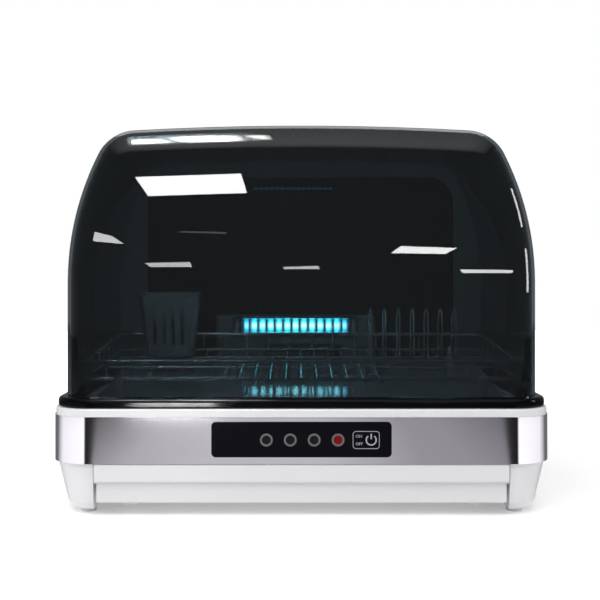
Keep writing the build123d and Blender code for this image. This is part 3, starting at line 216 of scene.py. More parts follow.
class Finish(NodeProgram):
    """A material being built."""

    def __init__(self, name):
        self.data = bpy.data.materials.new(name)
        self.data.use_nodes = True
        super().__init__(self.data.node_tree)
        self.shader = self.tree.nodes["Principled BSDF"]
        self.output = self.tree.nodes["Material Output"]
        finish_called[name] = self

    def set(self, **values):
        """Sets the finish's own sockets, such as base_color or specular_ior_level."""
        for name, value in values.items():
            label = name.replace("_", " ").title().replace("Ior", "IOR")
            if isinstance(value, tuple):
                value = (*value, 1)
            self.put(self.shader.inputs[label], value)
        return self

    def place(self, scale=(1, 1, 1)):
        """Object coordinates, stretched."""
        spot = self.node("ShaderNodeTexCoord", {}, {}, "Object")
        return self.node("ShaderNodeMapping", {}, {"Vector": spot, "Scale": scale})

    def noise(self, size, scale=(1, 1, 1), detail=3.0, roughness=0.5):
        """Soft noise from 0 to 1 whose blotches are about size metres across."""
        return self.node("ShaderNodeTexNoise", {}, {
            "Vector": self.place(scale), "Scale": 1 / size, "Detail": detail, "Roughness": roughness,
        }, "Fac")

    def blend(self, factor, low, high):
        """A colour between two, by a factor from 0 to 1."""
        return self.mix_colours("MIX", factor, as_colour(low), as_colour(high))

    def mix_colours(self, how, factor, first, second):
        """Two colours or wires through a Mix node, whose colour sockets are 6 and 7 and result is 2."""
        settings = {"data_type": "RGBA", "blend_type": how}
        return self.node("ShaderNodeMix", settings, {0: factor, 6: first, 7: second}, 2)

    def bump(self, height, depth):
        """A normal bent by a height from 0 to 1 that stands for depth metres."""
        return self.node("ShaderNodeBump", {}, {"Height": height, "Distance": depth, "Strength": 1.0})


def as_colour(value):
    """A plain colour gets the fourth number that colour sockets want; a wire stays."""
    return (*value, 1) if isinstance(value, tuple) else value


print("finishes ready")

# %% [markdown]
# ## Plastics
# Moulded plastic is never one flat value: its gloss wanders where it was handled, fine grain breaks the
# highlight, and the colour drifts by a percent or two. An image of plastic would show its edges on a shape
# like this, so each finish mixes these three from noise, at sizes that suit a moulding. The white mouldings
# are clean and new, so their colour hardly drifts.

# %% A moulded plastic
CLOUD_SIZE = 0.09            # metres across, of the drift in colour
HANDLING_SIZE = 0.02         # and of the drift in gloss


def moulded(name, colour, gloss, grain=0.0006, grain_depth=0.000004, drift=0.04, wander=0.12, **more):
    """A plastic: colour, roughness, size and depth of its grain in metres, drift of colour and of gloss."""
    made = Finish(name)
    cloud = made.noise(CLOUD_SIZE, detail=2)
    handling = made.noise(HANDLING_SIZE, detail=4)
    darker = tuple(c * (1 - drift) for c in colour)
    return made.set(
        base_color=made.blend(cloud, darker, colour),
        roughness=(gloss + (handling - 0.5) * wander).clamped(0.02, 1.0),
        normal=made.bump(made.noise(grain, detail=1), grain_depth),
        **more,
    )


white = moulded("white_plastic", (0.75, 0.75, 0.768), 0.32, grain_depth=0.000002, drift=0.012, wander=0.03)
print("the white plastic has", len(white.tree.nodes), "nodes")

# %% [markdown]
# The panel and the black rim are polished: their grain is a thousandth of a millimetre deep. A low specular
# level keeps them from mirroring the pale studio, which a real dark room wouldn't show.

# %% Plastics that show from outside
moulded("base_grey_plastic", (0.30, 0.31, 0.33), 0.5)
moulded("foot_rubber", (0.74, 0.74, 0.75), 0.75, grain_depth=0.00003)
moulded("panel_black", (0.004, 0.0035, 0.006), 0.12, grain_depth=0.000001, specular_ior_level=0.04)
moulded("rim_black", (0.0012, 0.0018, 0.003), 0.10, grain_depth=0.000001, specular_ior_level=0.12)
moulded("seal_rubber", (0.02, 0.02, 0.02), 0.7, grain_depth=0.00002)
moulded("ring_grey", (0.11, 0.11, 0.12), 0.4)
moulded("lens_dark", (0.008, 0.007, 0.009), 0.1, grain_depth=0.000001, specular_ior_level=0.1)
print("finishes so far:", len(finish_called))

# %% [markdown]
# Behind the dome the dark wall and the lamp's housing have a coarser grain, which hides dust. The other
# pieces inside keep the usual grain. The lamp's reflector is lacquered, and lacquer scatters light as a
# plastic does, so it is made here too.

# %% Plastics inside
moulded("wall_black", (0.016, 0.017, 0.0185), 0.32, grain=0.0008, grain_depth=0.00002)
moulded("housing_grey", (0.15, 0.165, 0.17), 0.38, grain=0.0007, grain_depth=0.00002)
moulded("louvre_black", (0.008, 0.008, 0.009), 0.6)
moulded("holder_clear", (0.21, 0.235, 0.25), 0.3, drift=0.08)
moulded("holder_white", (0.70, 0.70, 0.69), 0.4)
moulded("reflector_aluminium", (0.80, 0.82, 0.84), 0.35)
moulded("runner_plastic", (0.66, 0.66, 0.66), 0.35)
moulded("wheel_plastic", (0.03, 0.03, 0.033), 0.4)
moulded("switch_black", (0.02, 0.02, 0.02), 0.45)
moulded("circuit_board", (0.012, 0.10, 0.04), 0.35)
moulded("indicator_light", (0.6, 0.6, 0.58), 0.15)
print("finishes so far:", len(finish_called))

# %% [markdown]
# ## Metals
# Rolled and brushed sheet carries fine scratches all one way, which stretch every highlight across them. An
# anisotropic shader could do that, but it needs a direction on every face. Noise that is stretched along the
# brushing gives both the scratches and the uneven gloss, and follows the sheet round its corners. The band
# is brushed round the cabinet and polished, so it mirrors the table.

# %% A metal
METAL_CLOUD_SIZE = 0.05      # metres across, of the drift in colour
METAL_DARKEST = 0.90         # share of its colour that a metal keeps where it drifts darkest
ROUND_THE_BAND = (0.006, 0.006, 1)


def metal(name, colour, gloss, brushing=(1, 1, 1), scratch=0.0006, depth=0.000004, spread=0.12, metallic=1.0):
    """A metal: colour, roughness, stretch of its scratches (small numbers lie along them), and their size."""
    made = Finish(name)
    lines = made.noise(scratch, scale=brushing, detail=5, roughness=0.65)
    cloud = made.noise(METAL_CLOUD_SIZE, detail=2)
    dark = tuple(c * METAL_DARKEST for c in colour)
    return made.set(
        base_color=made.blend(cloud, dark, colour),
        metallic=metallic,
        roughness=(gloss + (lines - 0.5) * spread).clamped(0.03, 1.0),
        normal=made.bump(lines, depth),
    )


band = metal("band_steel", (0.63, 0.605, 0.645), 0.065, brushing=ROUND_THE_BAND, depth=0.000003, spread=0.04)
print("the band's steel has", len(band.tree.nodes), "nodes")

# %% [markdown]
# The drain floor is pressed sheet with a dull skin: half metal, half grey. Its scratches run from front to
# back. The rack is plated wire, smooth with a little cloudiness.

# %% Sheet and wire
FRONT_TO_BACK = (1, 0.03, 0.03)
metal("floor_steel", (0.335, 0.375, 0.40), 0.11, brushing=FRONT_TO_BACK, depth=0.000003, metallic=0.45)
metal("rack_chrome", (0.72, 0.74, 0.76), 0.14, scratch=0.002, depth=0.000001, spread=0.08, metallic=0.8)
metal("guard_metal", (0.42, 0.44, 0.46), 0.3)
print("finishes so far:", len(finish_called))

# %% [markdown]
# Most metals of the works are hidden behind covers, so they share one recipe and differ in colour and gloss.

# %% Metals of the works
metal("cap_aluminium", (0.66, 0.67, 0.68), 0.3)
metal("heater_fins", (0.45, 0.45, 0.45), 0.4)
metal("shaft_steel", (0.55, 0.55, 0.56), 0.25)
metal("motor_steel", (0.40, 0.40, 0.42), 0.38)
metal("screw_steel", (0.50, 0.50, 0.50), 0.3)
metal("hinge_steel", (0.035, 0.035, 0.04), 0.42)
metal("magnet_steel", (0.45, 0.45, 0.47), 0.25)
print("finishes so far:", len(finish_called))

# %% [markdown]
# ## The smoke-tinted cover
# Tinted acrylic is clear plastic with dye all through. A volume inside the wall would be the truest way,
# but it is slow and noisy. Here the wall's two faces share the dye instead: the shader gives each the square
# root of its base colour, so the whole wall passes the base colour itself. Where the wall is seen edge on,
# the way through it is long, and the dye lets almost nothing pass.

# %% Dye by the angle of view
WALL_TINT = (0.070, 0.090, 0.100)
EDGE_SHARE = 0.12
EDGE_TINT = tuple(c * EDGE_SHARE for c in WALL_TINT)
ACRYLIC_IOR = 1.49
smoke = Finish("smoke_acrylic")
edge_on = smoke.node("ShaderNodeLayerWeight", {}, {"Blend": 0.5}, "Facing")
dye = smoke.ramp(edge_on, [(0.0, WALL_TINT), (0.55, WALL_TINT), (0.85, EDGE_TINT), (1.0, (0, 0, 0))])
smoke.set(base_color=dye, roughness=0.0, transmission_weight=1.0, ior=ACRYLIC_IOR)
print("the wall passes", WALL_TINT, "of the light, and nearly edge on", EDGE_TINT)

# %% [markdown]
# Light from the lamps has to reach the inside too. Glass bends it into bright patterns that take very long
# to settle, so for shadow rays alone each face is a tinted Transparent shader, which lets them straight
# through.

# %% Light through the cover
FACE_TINT = tuple(math.sqrt(c) for c in WALL_TINT)
straight_through = smoke.node("ShaderNodeBsdfTransparent", {}, {"Color": as_colour(FACE_TINT)})
cover_surface = smoke.node("ShaderNodeMixShader", {}, {
    0: smoke.ray("Shadow"), 1: Wire(smoke, smoke.shader.outputs[0]), 2: straight_through,
})
smoke.put(smoke.output.inputs["Surface"], cover_surface)
print("a face passes", FACE_TINT, "of the lamps' light")

# %% [markdown]
# ## The ultraviolet lamp
# The dangerous light can't be seen; what shows is the cyan glow of the gas, near white in the middle of the
# tube and weaker at its rim and ends. The tube could be a plain light, but then it would show as one flat
# bar. Two colour ramps, one across the tube and one along it, are multiplied instead.

# %% Glow across and along the tube
GLOW_ACROSS = [
    (0.0, (0.60, 1.0, 1.0)), (0.4, (0.22, 0.90, 0.95)), (0.75, (0.03, 0.56, 0.62)), (1.0, (0.01, 0.30, 0.36)),
]
GLOW_ALONG = [(0.0, (1, 1, 1)), (0.85, (0.85, 0.9, 1.0)), (1.0, (0.2, 0.35, 0.5))]
tube_low, tube_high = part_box("uv_lamp")
tube_middle = [(low + high) / 2 for low, high in zip(tube_low, tube_high)]
tube_half = [(high - low) / 2 for low, high in zip(tube_low, tube_high)]
lamp_glass = Finish("lamp_glass")
tube_spot = lamp_glass.place()
along_tube = lamp_glass.axis(tube_spot, "X")
up_tube = lamp_glass.axis(tube_spot, "Z")
core_glow = lamp_glass.ramp((up_tube - tube_middle[2]).math("ABSOLUTE") / tube_half[2], GLOW_ACROSS)
end_glow = lamp_glass.ramp((along_tube - tube_middle[0]).math("ABSOLUTE") / tube_half[0], GLOW_ALONG)
even_glow = lamp_glass.mix_colours("MULTIPLY", 1.0, core_glow, end_glow)
print("tube", 2000 * tube_half[0], "mm long,", 2000 * tube_half[2], "mm thick")

# %% [markdown]
# A guard of thin wires stands in front, and the picture shows a bright patch in each of its gaps. A cosine
# along the tube, with as many waves as the guard has gaps, paints the wires' shade into the glow: darker
# behind each wire, brighter in each gap.

# %% Painted shade of the guard's wires on the glow
GUARD_CELLS = 15
BAR_SHADE_MEAN = 0.55
BAR_SHADE_SWING = 0.45
LAMP_STRENGTH = 24.0
guard_low, guard_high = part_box("lamp_guard")
waves = 2 * math.pi * GUARD_CELLS / (guard_high[0] - guard_low[0])
# Painted shade: the guard wires' shade and the bright gaps between them are painted into the lamp's glow.
painted_bar_shade = BAR_SHADE_MEAN - BAR_SHADE_SWING * ((along_tube - guard_low[0]) * waves).math("COSINE")
glow = lamp_glass.mix_colours("MULTIPLY", 1.0, even_glow, painted_bar_shade)
lamp_glass.set(base_color=(0.5, 0.8, 0.9), roughness=0.2)
lamp_glass.set(emission_color=glow, emission_strength=LAMP_STRENGTH)
print("gaps of the guard:", GUARD_CELLS, "each", 1000 * (guard_high[0] - guard_low[0]) / GUARD_CELLS, "mm")

# %% [markdown]
# Only one of the panel's lights is on. Its lens is dyed red and lit from behind, so it glows a little and
# unevenly, rather than shining like a lamp.

# %% Red lens
RED_GLOW = 0.09
red_lens = Finish("lens_red")
red_cloud = red_lens.noise(0.003, detail=1)
red_lens.set(
    base_color=red_lens.blend(red_cloud, (0.10, 0.002, 0.003), (0.14, 0.003, 0.004)),
    emission_color=red_lens.blend(red_cloud, (0.50, 0.01, 0.015), (0.7, 0.02, 0.025)),
    emission_strength=RED_GLOW, roughness=0.25, specular_ior_level=0.1,
)
print("finishes so far:", len(finish_called))

# %% [markdown]
# ## Finishes on the solid pieces
# The record says which material slot each solid piece has, and every finish above carries its slot's name.
# So one loop dresses them all, and a piece can't be forgotten: a slot without a finish would stop the
# script.

# %% Give every solid piece its finish
for row in frame["record"]["subparts"]:
    solid_mesh = nodes[row["node"]].data
    solid_mesh.materials.clear()
    solid_mesh.materials.append(finish_called[row["material_slot"]].data)

# %% [markdown]
# ## The studio
# A product picture on white: the floor and the space behind it are white to the camera, and to what the
# camera sees through the cover. More light on the cabinet would also make them white, but it would bleach
# the cabinet too. To polish, the room is dim on all sides, and that is why the cover looks nearly black
# from the front.

# %% World: white to the camera, dim to polish
ROOM = 0.13                  # how bright polish sees the room in front
BEHIND = 0.18                # and the room behind the cabinet
TURN_FROM = -0.15            # heading, from -1 in front to 1 behind, where one passes into the other
TURN_TO = 0.35
FILL = 0.50                  # even light from all around
WHITE_SEEN = 1.0
world = bpy.data.worlds.new("studio")
bpy.context.scene.world = world
world.use_nodes = True
sky = NodeProgram(world.node_tree)
heading = sky.axis(sky.node("ShaderNodeTexCoord", {}, {}, "Generated"), "Y")
room_glow = sky.ease(heading, TURN_FROM, TURN_TO, ROOM, BEHIND)
seen_white = sky.ray("Camera").math("MAXIMUM", sky.ray("Transmission"))
unseen = sky.node("ShaderNodeMix", {"data_type": "FLOAT"}, {0: sky.ray("Glossy"), 2: FILL, 3: room_glow})
brightness = sky.node("ShaderNodeMix", {"data_type": "FLOAT"}, {0: seen_white, 2: unseen, 3: WHITE_SEEN})
background = world.node_tree.nodes["Background"]
sky.put(background.inputs["Strength"], brightness)
sky.put(background.inputs["Color"], (1, 1, 1, 1))
print("world: fill", FILL, "room", ROOM, "behind", BEHIND)

# %% [markdown]
# The floor and the cards that follow are all flat sheets. Each is one face between its corners. They aren't
# part of the cabinet.

# %% Flat sheets, and the floor
FLOOR_FRONT = -1.05
FLOOR_BACK = 3.0
FLOOR_HALF = 3.0


def card(name, corners):
    """A flat sheet between corners."""
    sheet = bmesh.new()
    bmesh.ops.contextual_create(sheet, geom=[sheet.verts.new(corner) for corner in corners])
    data = bpy.data.meshes.new(name)
    sheet.to_mesh(data)
    sheet.free()
    made = bpy.data.objects.new(name, data)
    bpy.context.scene.collection.objects.link(made)
    return made


def level_corners(x0, x1, y0, y1, z):
    """The corners of a level sheet that faces up."""
    return [(x0, y0, z), (x1, y0, z), (x1, y1, z), (x0, y1, z)]


floor = card("studio_floor", level_corners(-FLOOR_HALF, FLOOR_HALF, FLOOR_FRONT, FLOOR_BACK, 0))
print("floor", 2 * FLOOR_HALF, "by", FLOOR_BACK - FLOOR_FRONT, "m")

# %% [markdown]
# The floor has to be white and still carry the cabinet's shadow. Painted white alone, it would be grey
# where the lamps are weak. So it gives off a little light of its own that only the camera sees: little near
# the cabinet, where the shadow lies, and more far away.

# %% Floor's finish, with room for the shadow
NEAR_LIFT = 0.30             # brightness that only the camera sees, within the first distance
FAR_LIFT = 0.75              # and beyond the second
LIFT_FROM = 0.35
LIFT_TO = 1.4
floor_finish = Finish("studio_floor").set(
    base_color=(0.90, 0.90, 0.90), roughness=0.7, specular_ior_level=0.0, emission_strength=1.0,
)
floor_spot = floor_finish.node("ShaderNodeTexCoord", {}, {}, "Object")
away = floor_finish.node("ShaderNodeVectorMath", {"operation": "LENGTH"}, {0: floor_spot}, "Value")
lift = floor_finish.ease(away, LIFT_FROM, LIFT_TO, NEAR_LIFT, FAR_LIFT)
floor_finish.set(emission_color=floor_finish.ray("Camera") * lift)
floor.data.materials.append(floor_finish.data)
print("floor's own light from", NEAR_LIFT, "near to", FAR_LIFT, "far")

# %% [markdown]
# Small lamps make hard shadows. Large rectangles of light, as softboxes are, make the soft one of the
# photograph. Most of them are hidden from polish, because the cards further on draw its reflections.

# %% Soft lights
def soft_light(name, place, look_at, width, height, watts, seen_in_gloss=False, colour=(1, 1, 1)):
    """A rectangular light that faces a point."""
    data = bpy.data.lights.new(name, "AREA")
    data.shape = "RECTANGLE"
    data.size = width
    data.size_y = height
    data.energy = watts
    data.color = colour
    light = bpy.data.objects.new(name, data)
    light.location = place
    light.rotation_euler = (Vector(look_at) - Vector(place)).to_track_quat("-Z", "Y").to_euler()
    light.visible_camera = False
    light.visible_glossy = seen_in_gloss
    light.visible_transmission = False
    bpy.context.scene.collection.objects.link(light)
    print(name, watts, "W,", width, "by", height, "m")


soft_light("top_softbox", (-0.25, -1.1, 1.5), (-0.05, -0.1, 0.1), 1.6, 1.1, 15)
soft_light("back_softbox", (0, 0.9, 1.5), (0, 0, 0.2), 1.8, 0.8, 6, seen_in_gloss=True)
soft_light("left_fill", (-1.3, -0.7, 0.5), (-0.1, 0, 0.1), 0.8, 0.8, 4)
soft_light("right_fill", (1.3, -0.7, 0.5), (0.1, 0, 0.1), 0.8, 0.8, 2)

# %% [markdown]
# The dome keeps most light out. A weak bluish light inside it, near its front, makes the rack and floor
# show.

# %% Light inside the dome
soft_light("inside_fill", (0, -0.150, 0.33), (0, 0.10, 0.12), 0.34, 0.06, 0.9, colour=(0.86, 0.96, 1.0))

# %% [markdown]
# ## What the polish sees
# Polish shows its surroundings, so its look is made there, and not in its material. The flat front of the
# cover mirrors the lit ceiling panels of the room. Glowing cards that only polish can see stand in for
# them. Each is placed by where its mirror image shows in the photograph, from the eye to the mirror and on
# behind it.

# %% Cards that only polish sees
BLACK = (0, 0, 0)
HIDDEN_FROM = ("camera", "diffuse", "transmission", "volume_scatter", "shadow")


def glow_card(name, corners, strength, colour=(1, 1, 1)):
    """A card that glows and that only glossy surfaces see. Hands back the card and its finish."""
    made = card(name, corners)
    for kind in HIDDEN_FROM:
        setattr(made, f"visible_{kind}", False)
    finish = Finish(name)
    finish.set(base_color=BLACK, specular_ior_level=0.0, emission_color=colour, emission_strength=strength)
    made.data.materials.append(finish.data)
    return made, finish


print("glowing cards are hidden from", ", ".join(HIDDEN_FROM))

# %% [markdown]
# A flat mirror shows a thing as far behind itself as the thing stands in front. So a pixel is followed to a
# spot behind the cover's front, and the card's corner goes to the same spot in front of it.

# %% Where a reflection comes from
COVER_FRONT_Y = -0.177
CARD_DISTANCE = 2.0
eye_to_cover = COVER_FRONT_Y - camera.location.y


def mirrored(corners):
    """Where a card's corners stand, from the pixels where the cover's front shows their mirror image."""
    spots = [spot_seen_at(column, row, eye_to_cover + CARD_DISTANCE) for column, row in corners]
    return [(spot.x, COVER_FRONT_Y - CARD_DISTANCE, spot.z) for spot in spots]


print("cards stand at y", COVER_FRONT_Y - CARD_DISTANCE)

# %% [markdown]
# The room's ceiling has flat lit panels. Each is given by its strength and its four corners, as column and
# row of the photograph. The strengths are high, because the front of the cover sends back only about a
# twenty-fifth of the light.

# %% Lit ceiling panels
CEILING_PANELS = (
    (26, ((135, 177), (241, 173.6), (247, 193), (148, 196))),
    (22, ((391, 253), (401, 246), (457, 248), (445, 254))),
    (14, ((70, 239), (78, 228), (112, 236), (124, 244))),
    (12, ((145, 263), (190, 262), (192, 267), (150, 267))),
    (14, ((283, 267), (318, 266), (320, 269), (284, 269))),
    (18, ((460, 269.5), (514, 270), (512, 273), (463, 273))),
    (1.6, ((180, 231), (226, 232), (226, 234), (180, 232.5))),
)
for i, (strength, corners) in enumerate(CEILING_PANELS):
    glow_card(f"ceiling_panel_{i}", mirrored(corners), strength)
print("ceiling panels:", len(CEILING_PANELS))

# %% [markdown]
# High in the cover the lamp shows once more, faint and blue, cut up by the wires of its guard.

# %% The lamp's own faint image
IMAGE_LEFT = 254             # columns and rows of the photograph
IMAGE_TOP = 187.3
IMAGE_FOOT = 189.7
CELL_STEP = 5.3
CELL_WIDTH = 3.9
IMAGE_COLOUR = (0.14, 0.62, 1.0)
IMAGE_STRENGTH = 1.1
for i in range(GUARD_CELLS):
    start = IMAGE_LEFT + i * CELL_STEP
    end = start + CELL_WIDTH
    cell = ((start, IMAGE_TOP), (end, IMAGE_TOP), (end, IMAGE_FOOT), (start, IMAGE_FOOT))
    glow_card(f"lamp_image_{i}", mirrored(cell), IMAGE_STRENGTH, IMAGE_COLOUR)
print("cells of the lamp's image:", GUARD_CELLS)

# %% [markdown]
# The cover's top edge is a long round, so anything above it is squeezed into a stripe there. A hard-edged
# card would give a hard-edged stripe, but real windows and lit ceilings blur in it. These cards fade
# towards their own edges: the glow is one parabola across the card times another along it.

# %% Soft cards above
OVERHEAD_Z = 1.5


def fading_card(name, x0, x1, y0, y1, strength):
    """A level card overhead, facing down, that is brightest in its middle and fades to its edges."""
    corners = [(x0, y0, OVERHEAD_Z), (x0, y1, OVERHEAD_Z), (x1, y1, OVERHEAD_Z), (x1, y0, OVERHEAD_Z)]
    made, fade = glow_card(name, corners, strength)
    middle = ((x0 + x1) / 2, (y0 + y1) / 2, OVERHEAD_Z)
    off_middle = fade.node("ShaderNodeVectorMath", {"operation": "SUBTRACT"}, {0: fade.place(), 1: middle})
    across = fade.axis(off_middle, "X") / ((x1 - x0) / 2)
    along = fade.axis(off_middle, "Y") / ((y1 - y0) / 2)
    fade.set(emission_color=(1 - across * across).clamped(0, 1) * (1 - along * along).clamped(0, 1))
    print(name, "strength", strength)
    return made


fading_card("lit_ceiling", -1.6, 1.5, -3.6, 0.5, 1.35)
fading_card("window_left", -0.48, -0.33, -1.20, -0.45, 60)
fading_card("window_middle", -0.34, -0.14, -1.30, -0.35, 90).visible_transmission = True
fading_card("window_right", -0.15, -0.07, -1.20, -0.40, 45)

# %% [markdown]
# The wires of the rack catch the windows too, but through the cover. The middle window reaches them, and so
# does one more card, wider and hidden from the cover's own polish.

# %% A window for the wires
wire_window = fading_card("wire_window", -0.62, -0.10, -1.30, 0.10, 110)
wire_window.visible_transmission = True
wire_window.visible_glossy = False

# %% [markdown]
# Two upright cards at the right draw the two short streaks in the cover's round corner, as a window with a
# bar across it would.

# %% Window at the side
SIDE_X = 1.5
SIDE_FRONT = -0.50
SIDE_BACK = -0.25
SIDE_STRENGTH = 12
for name, foot, head in (("low", 0.20, 0.42), ("high", 0.55, 0.80)):
    side_corners = [
        (SIDE_X, SIDE_FRONT, foot), (SIDE_X, SIDE_BACK, foot),
        (SIDE_X, SIDE_BACK, head), (SIDE_X, SIDE_FRONT, head),
    ]
    glow_card(f"side_window_{name}", side_corners, SIDE_STRENGTH)
    print("side window", name, "from", foot, "to", head, "m")

# %% [markdown]
# The black rim under the dome is upright as well, and shows a bright line at its left, like a lit sill. Its
# card is placed by pixels too, half a metre behind the rim's face and then mirrored in front of it.

# %% Sill in the black rim
RIM_Y = -0.185
SILL_AWAY = 0.5
SILL_STRENGTH = 140
SILL_PIXELS = ((132, 405), (216, 405), (212, 400), (134, 400))
sill_depth = RIM_Y - camera.location.y + SILL_AWAY
sill = [spot_seen_at(column, row, sill_depth) for column, row in SILL_PIXELS]
glow_card("sill", [(corner.x, RIM_Y - SILL_AWAY, corner.z) for corner in sill], SILL_STRENGTH)
print("sill at y", RIM_Y - SILL_AWAY)

# %% [markdown]
# ## What the steel band sees
# The band looks down on the table, so it mirrors the light on the table from 0.3 to 0.75 m away. Separate
# cards for each patch of that light would leave gaps round the corners. One card lies on the table instead,
# and its glow is worked out from where a point lies: how far to the side, and at which angle round the
# band's corner.

# %% Card on the table
TABLE_CARD_Z = 0.001
TABLE_STRENGTH = 1.75
CORNER_X = 0.2085            # middle of the band's corner round
CORNER_Y = -0.155
table_corners = level_corners(-FLOOR_HALF, FLOOR_HALF, FLOOR_FRONT, FLOOR_BACK, TABLE_CARD_Z)
table_card, table_light = glow_card("table_light", table_corners, TABLE_STRENGTH)
table_spot = table_light.place()
sideways = table_light.axis(table_spot, "X")
forward = CORNER_Y - table_light.axis(table_spot, "Y")
outward = sideways.math("ABSOLUTE") - CORNER_X
half_turns = outward.math("ARCTAN2", forward) / math.pi
print("corner round at", CORNER_X, CORNER_Y)

# %% [markdown]
# In the band's flat front the photograph shows a grey that is darkest at the ends and brightest left of the
# middle. Painted on the band, that gradient would stay put when the view turns, which no reflection does. So
# a colour ramp on the card makes it.

# %% Light in the flat front
POOL_HALF = 0.80             # metres that the ramp spans, each side of the middle
POOL_STOPS = [
    (0.28, (0.11, 0.11, 0.11)), (0.312, (0.19, 0.19, 0.195)), (0.36, (0.38, 0.38, 0.39)),
    (0.42, (0.47, 0.47, 0.48)), (0.52, (0.45, 0.45, 0.46)), (0.60, (0.28, 0.28, 0.29)),
    (0.64, (0.265, 0.265, 0.275)), (0.70, (0.175, 0.175, 0.185)),
]
flat_colour = table_light.ramp((sideways + POOL_HALF) / (2 * POOL_HALF), POOL_STOPS)
print("stops along the front:", len(POOL_STOPS))

# %% [markdown]
# Round a corner the view turns quickly, so the light there goes by angle: a dark gap, then a bright wall's
# glow to the side, and a dimmer rear. Angles are counted in half turns from straight ahead.

# %% Light in the corners
FLAT_END = 0.0596            # half turns at which the corner's own pattern begins
FLAT_BLUR = 0.001
TURN_STOPS = [
    (0.0, (0.01, 0.01, 0.01)), (0.115, (0.01, 0.01, 0.01)), (0.125, (1, 1, 1)), (0.50, (0.85, 0.85, 0.86)),
    (0.66, (0.12, 0.12, 0.12)), (1.0, (0.10, 0.10, 0.10)),
]
turned_colour = table_light.ramp(half_turns, TURN_STOPS)
past_flat = table_light.ease(half_turns, FLAT_END - FLAT_BLUR, FLAT_END + FLAT_BLUR, 0.0, 1.0, "LINEAR")
by_angle = table_light.mix_colours("MIX", past_flat, flat_colour, turned_colour)
print("corners begin at", 180 * FLAT_END, "degrees")

# %% [markdown]
# Beyond the light's reach the table is dark. The card still covers it, because otherwise the lowest part of
# the dome would mirror the far floor as a white wedge.

# %% Edge of the lit table
POOL_REACH = 0.76            # metres from the band
REACH_BLUR = 0.06
TABLE_BEYOND = (0.03, 0.03, 0.03)
reach_squared = outward.math("MAXIMUM", 0.0).math("POWER", 2) + forward.math("POWER", 2)
in_reach = table_light.ease(reach_squared, POOL_REACH ** 2, (POOL_REACH + REACH_BLUR) ** 2, 1.0, 0.0)
table_light.set(emission_color=table_light.mix_colours("MIX", in_reach, as_colour(TABLE_BEYOND), by_angle))
print("light on the table reaches", POOL_REACH, "m")

# %% [markdown]
# ## Printing on the power key
# The key carries a thin outline, a power sign and the words ON and OFF. They could be painted by the key's
# material, but crisp lines this small are easier as shapes. Printing has next to no thickness, so these are
# flat meshes, four hundredths of a millimetre thick, that lie on the key's face and move with it.

# %% Ink
ink = Finish("print_grey")
ink_cloud = ink.noise(0.004, detail=2)
ink.set(
    base_color=ink.blend(ink_cloud, (0.34, 0.34, 0.37), (0.44, 0.44, 0.47)),
    roughness=(0.45 + (ink_cloud - 0.5) * 0.1).clamped(0.1, 0.9),
)
print("finishes in all:", len(finish_called))

# %% [markdown]
# Each sign is drawn flat on the key's face and then pushed out by the thickness of the ink. Its doubles are
# merged first and its normals recalculated last, because drawing and pushing can turn faces inwards.

# %% From a flat drawing to a print
INK_THICKNESS = 0.00004
MERGE_WITHIN = 1e-7
key_low, key_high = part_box("power_key")
key_face_y = key_low[1]
key_middle_z = (key_low[2] + key_high[2]) / 2


def printed(name, drawing):
    """Makes a flat bmesh, drawn on the key's face, a print that moves with the key."""
    bmesh.ops.remove_doubles(drawing, verts=drawing.verts, dist=MERGE_WITHIN)
    pushed = bmesh.ops.extrude_face_region(drawing, geom=drawing.faces[:])
    moved = [item for item in pushed["geom"] if isinstance(item, bmesh.types.BMVert)]
    bmesh.ops.translate(drawing, verts=moved, vec=(0, -INK_THICKNESS, 0))
    bmesh.ops.recalc_face_normals(drawing, faces=drawing.faces)
    data = bpy.data.meshes.new(name)
    drawing.to_mesh(data)
    drawing.free()
    data.materials.append(ink.data)
    made = bpy.data.objects.new(name, data)
    bpy.context.scene.collection.objects.link(made)
    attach(made, "key")
    print(name, "faces:", len(data.polygons))


print("the key's face is", 1000 * (key_high[0] - key_low[0]), "by", 1000 * (key_high[2] - key_low[2]), "mm")

# %% [markdown]
# Two strokes draw everything but the letters: a band along an arc, which is one short edge spun round a
# centre, and a straight bar.

# %% Strokes
def arc_stroke(drawing, centre_x, centre_z, outer, width, start, turn, steps):
    """A band along an arc; its start and turn are angles clockwise from the top."""
    ends = [drawing.verts.new((centre_x + r * math.sin(start), key_face_y, centre_z + r * math.cos(start)))
            for r in (outer - width, outer)]
    edge = drawing.edges.new(ends)
    bmesh.ops.spin(drawing, geom=ends + [edge], cent=(centre_x, key_face_y, centre_z), axis=(0, 1, 0),
                   angle=turn, steps=steps, use_merge=False, use_duplicate=False)


def bar_stroke(drawing, x0, x1, z0, z1):
    """A straight bar."""
    spots = ((x0, key_face_y, z0), (x1, key_face_y, z0), (x1, key_face_y, z1), (x0, key_face_y, z1))
    bmesh.ops.contextual_create(drawing, geom=[drawing.verts.new(spot) for spot in spots])


print("strokes are drawn at y", key_face_y)

# %% [markdown]
# The power sign is a ring that is open at the top, with a bar in the gap.

# %% Power sign
SIGN_X = key_high[0] - 0.0086
SIGN_R = 0.0056
SIGN_LINE = 0.0013
HALF_GAP = math.radians(38)
SIGN_STEPS = 36
BAR_FOOT = key_middle_z + 0.0008
BAR_HEAD = key_middle_z + SIGN_R + 0.0006
sign = bmesh.new()
arc_stroke(sign, SIGN_X, key_middle_z, SIGN_R, SIGN_LINE, HALF_GAP, 2 * math.pi - 2 * HALF_GAP, SIGN_STEPS)
bar_stroke(sign, SIGN_X - SIGN_LINE / 2, SIGN_X + SIGN_LINE / 2, BAR_FOOT, BAR_HEAD)
printed("power_sign", sign)

# %% [markdown]
# The outline follows the key's edge just inside it: four bars, and a quarter ring at each corner.

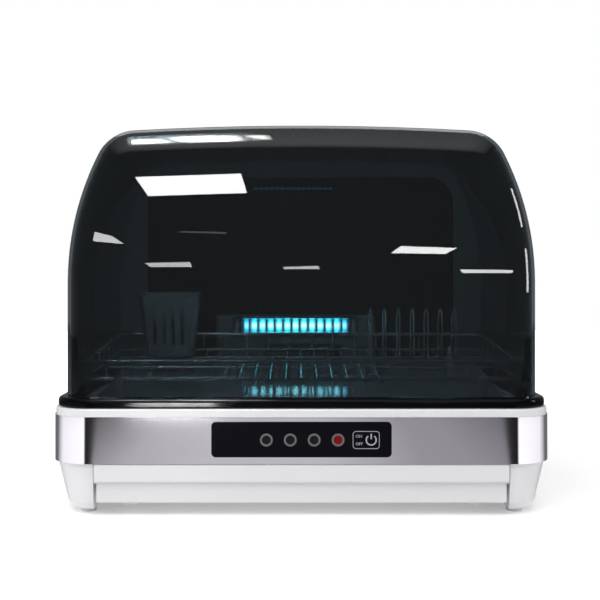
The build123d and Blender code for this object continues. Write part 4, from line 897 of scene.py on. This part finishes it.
# %% Outline of the key
EDGE = 0.0002                # from the key's edge to the line
LINE = 0.0006
CORNER_R = 0.0032
CORNER_STEPS = 8
left = key_low[0] + EDGE
right = key_high[0] - EDGE
foot = key_low[2] + EDGE
head = key_high[2] - EDGE
outline = bmesh.new()
bar_stroke(outline, left + CORNER_R, right - CORNER_R, foot, foot + LINE)
bar_stroke(outline, left + CORNER_R, right - CORNER_R, head - LINE, head)
bar_stroke(outline, left, left + LINE, foot + CORNER_R, head - CORNER_R)
bar_stroke(outline, right - LINE, right, foot + CORNER_R, head - CORNER_R)
for corner_x, corner_z, start in (
    (right - CORNER_R, head - CORNER_R, 0.0), (right - CORNER_R, foot + CORNER_R, math.pi / 2),
    (left + CORNER_R, foot + CORNER_R, math.pi), (left + CORNER_R, head - CORNER_R, -math.pi / 2),
):
    arc_stroke(outline, corner_x, corner_z, CORNER_R, LINE, start, math.pi / 2, CORNER_STEPS)
printed("key_outline", outline)

# %% [markdown]
# The two words are text, made a mesh before it is stood up and moved to its place, so that the finished
# piece stays at the origin like every other.

# %% Words
LETTER_SIZE = 0.00405
WORDS_LEFT = key_low[0] + 0.0031
STAND_UP = Matrix.Rotation(math.pi / 2, 3, "X")
for word, above_middle in (("ON", 0.0024), ("OFF", -0.0052)):
    text = bpy.data.curves.new(f"word_{word}", "FONT")
    text.body = word
    text.size = LETTER_SIZE
    text_holder = bpy.data.objects.new(f"word_{word}", text)
    bpy.context.scene.collection.objects.link(text_holder)
    bpy.context.view_layer.update()
    flat_word = bpy.data.meshes.new_from_object(text_holder)
    bpy.data.objects.remove(text_holder)
    letters = bmesh.new()
    letters.from_mesh(flat_word)
    bmesh.ops.rotate(letters, verts=letters.verts, cent=(0, 0, 0), matrix=STAND_UP)
    word_place = (WORDS_LEFT, key_face_y, key_middle_z + above_middle)
    bmesh.ops.translate(letters, verts=letters.verts, vec=word_place)
    printed(f"word_{word}", letters)

# %% [markdown]
# ## The end
# The Standard view shows colours as they are written, where the usual one would soften the white background
# to grey.

scene = bpy.context.scene
scene.view_settings.view_transform = "Standard"
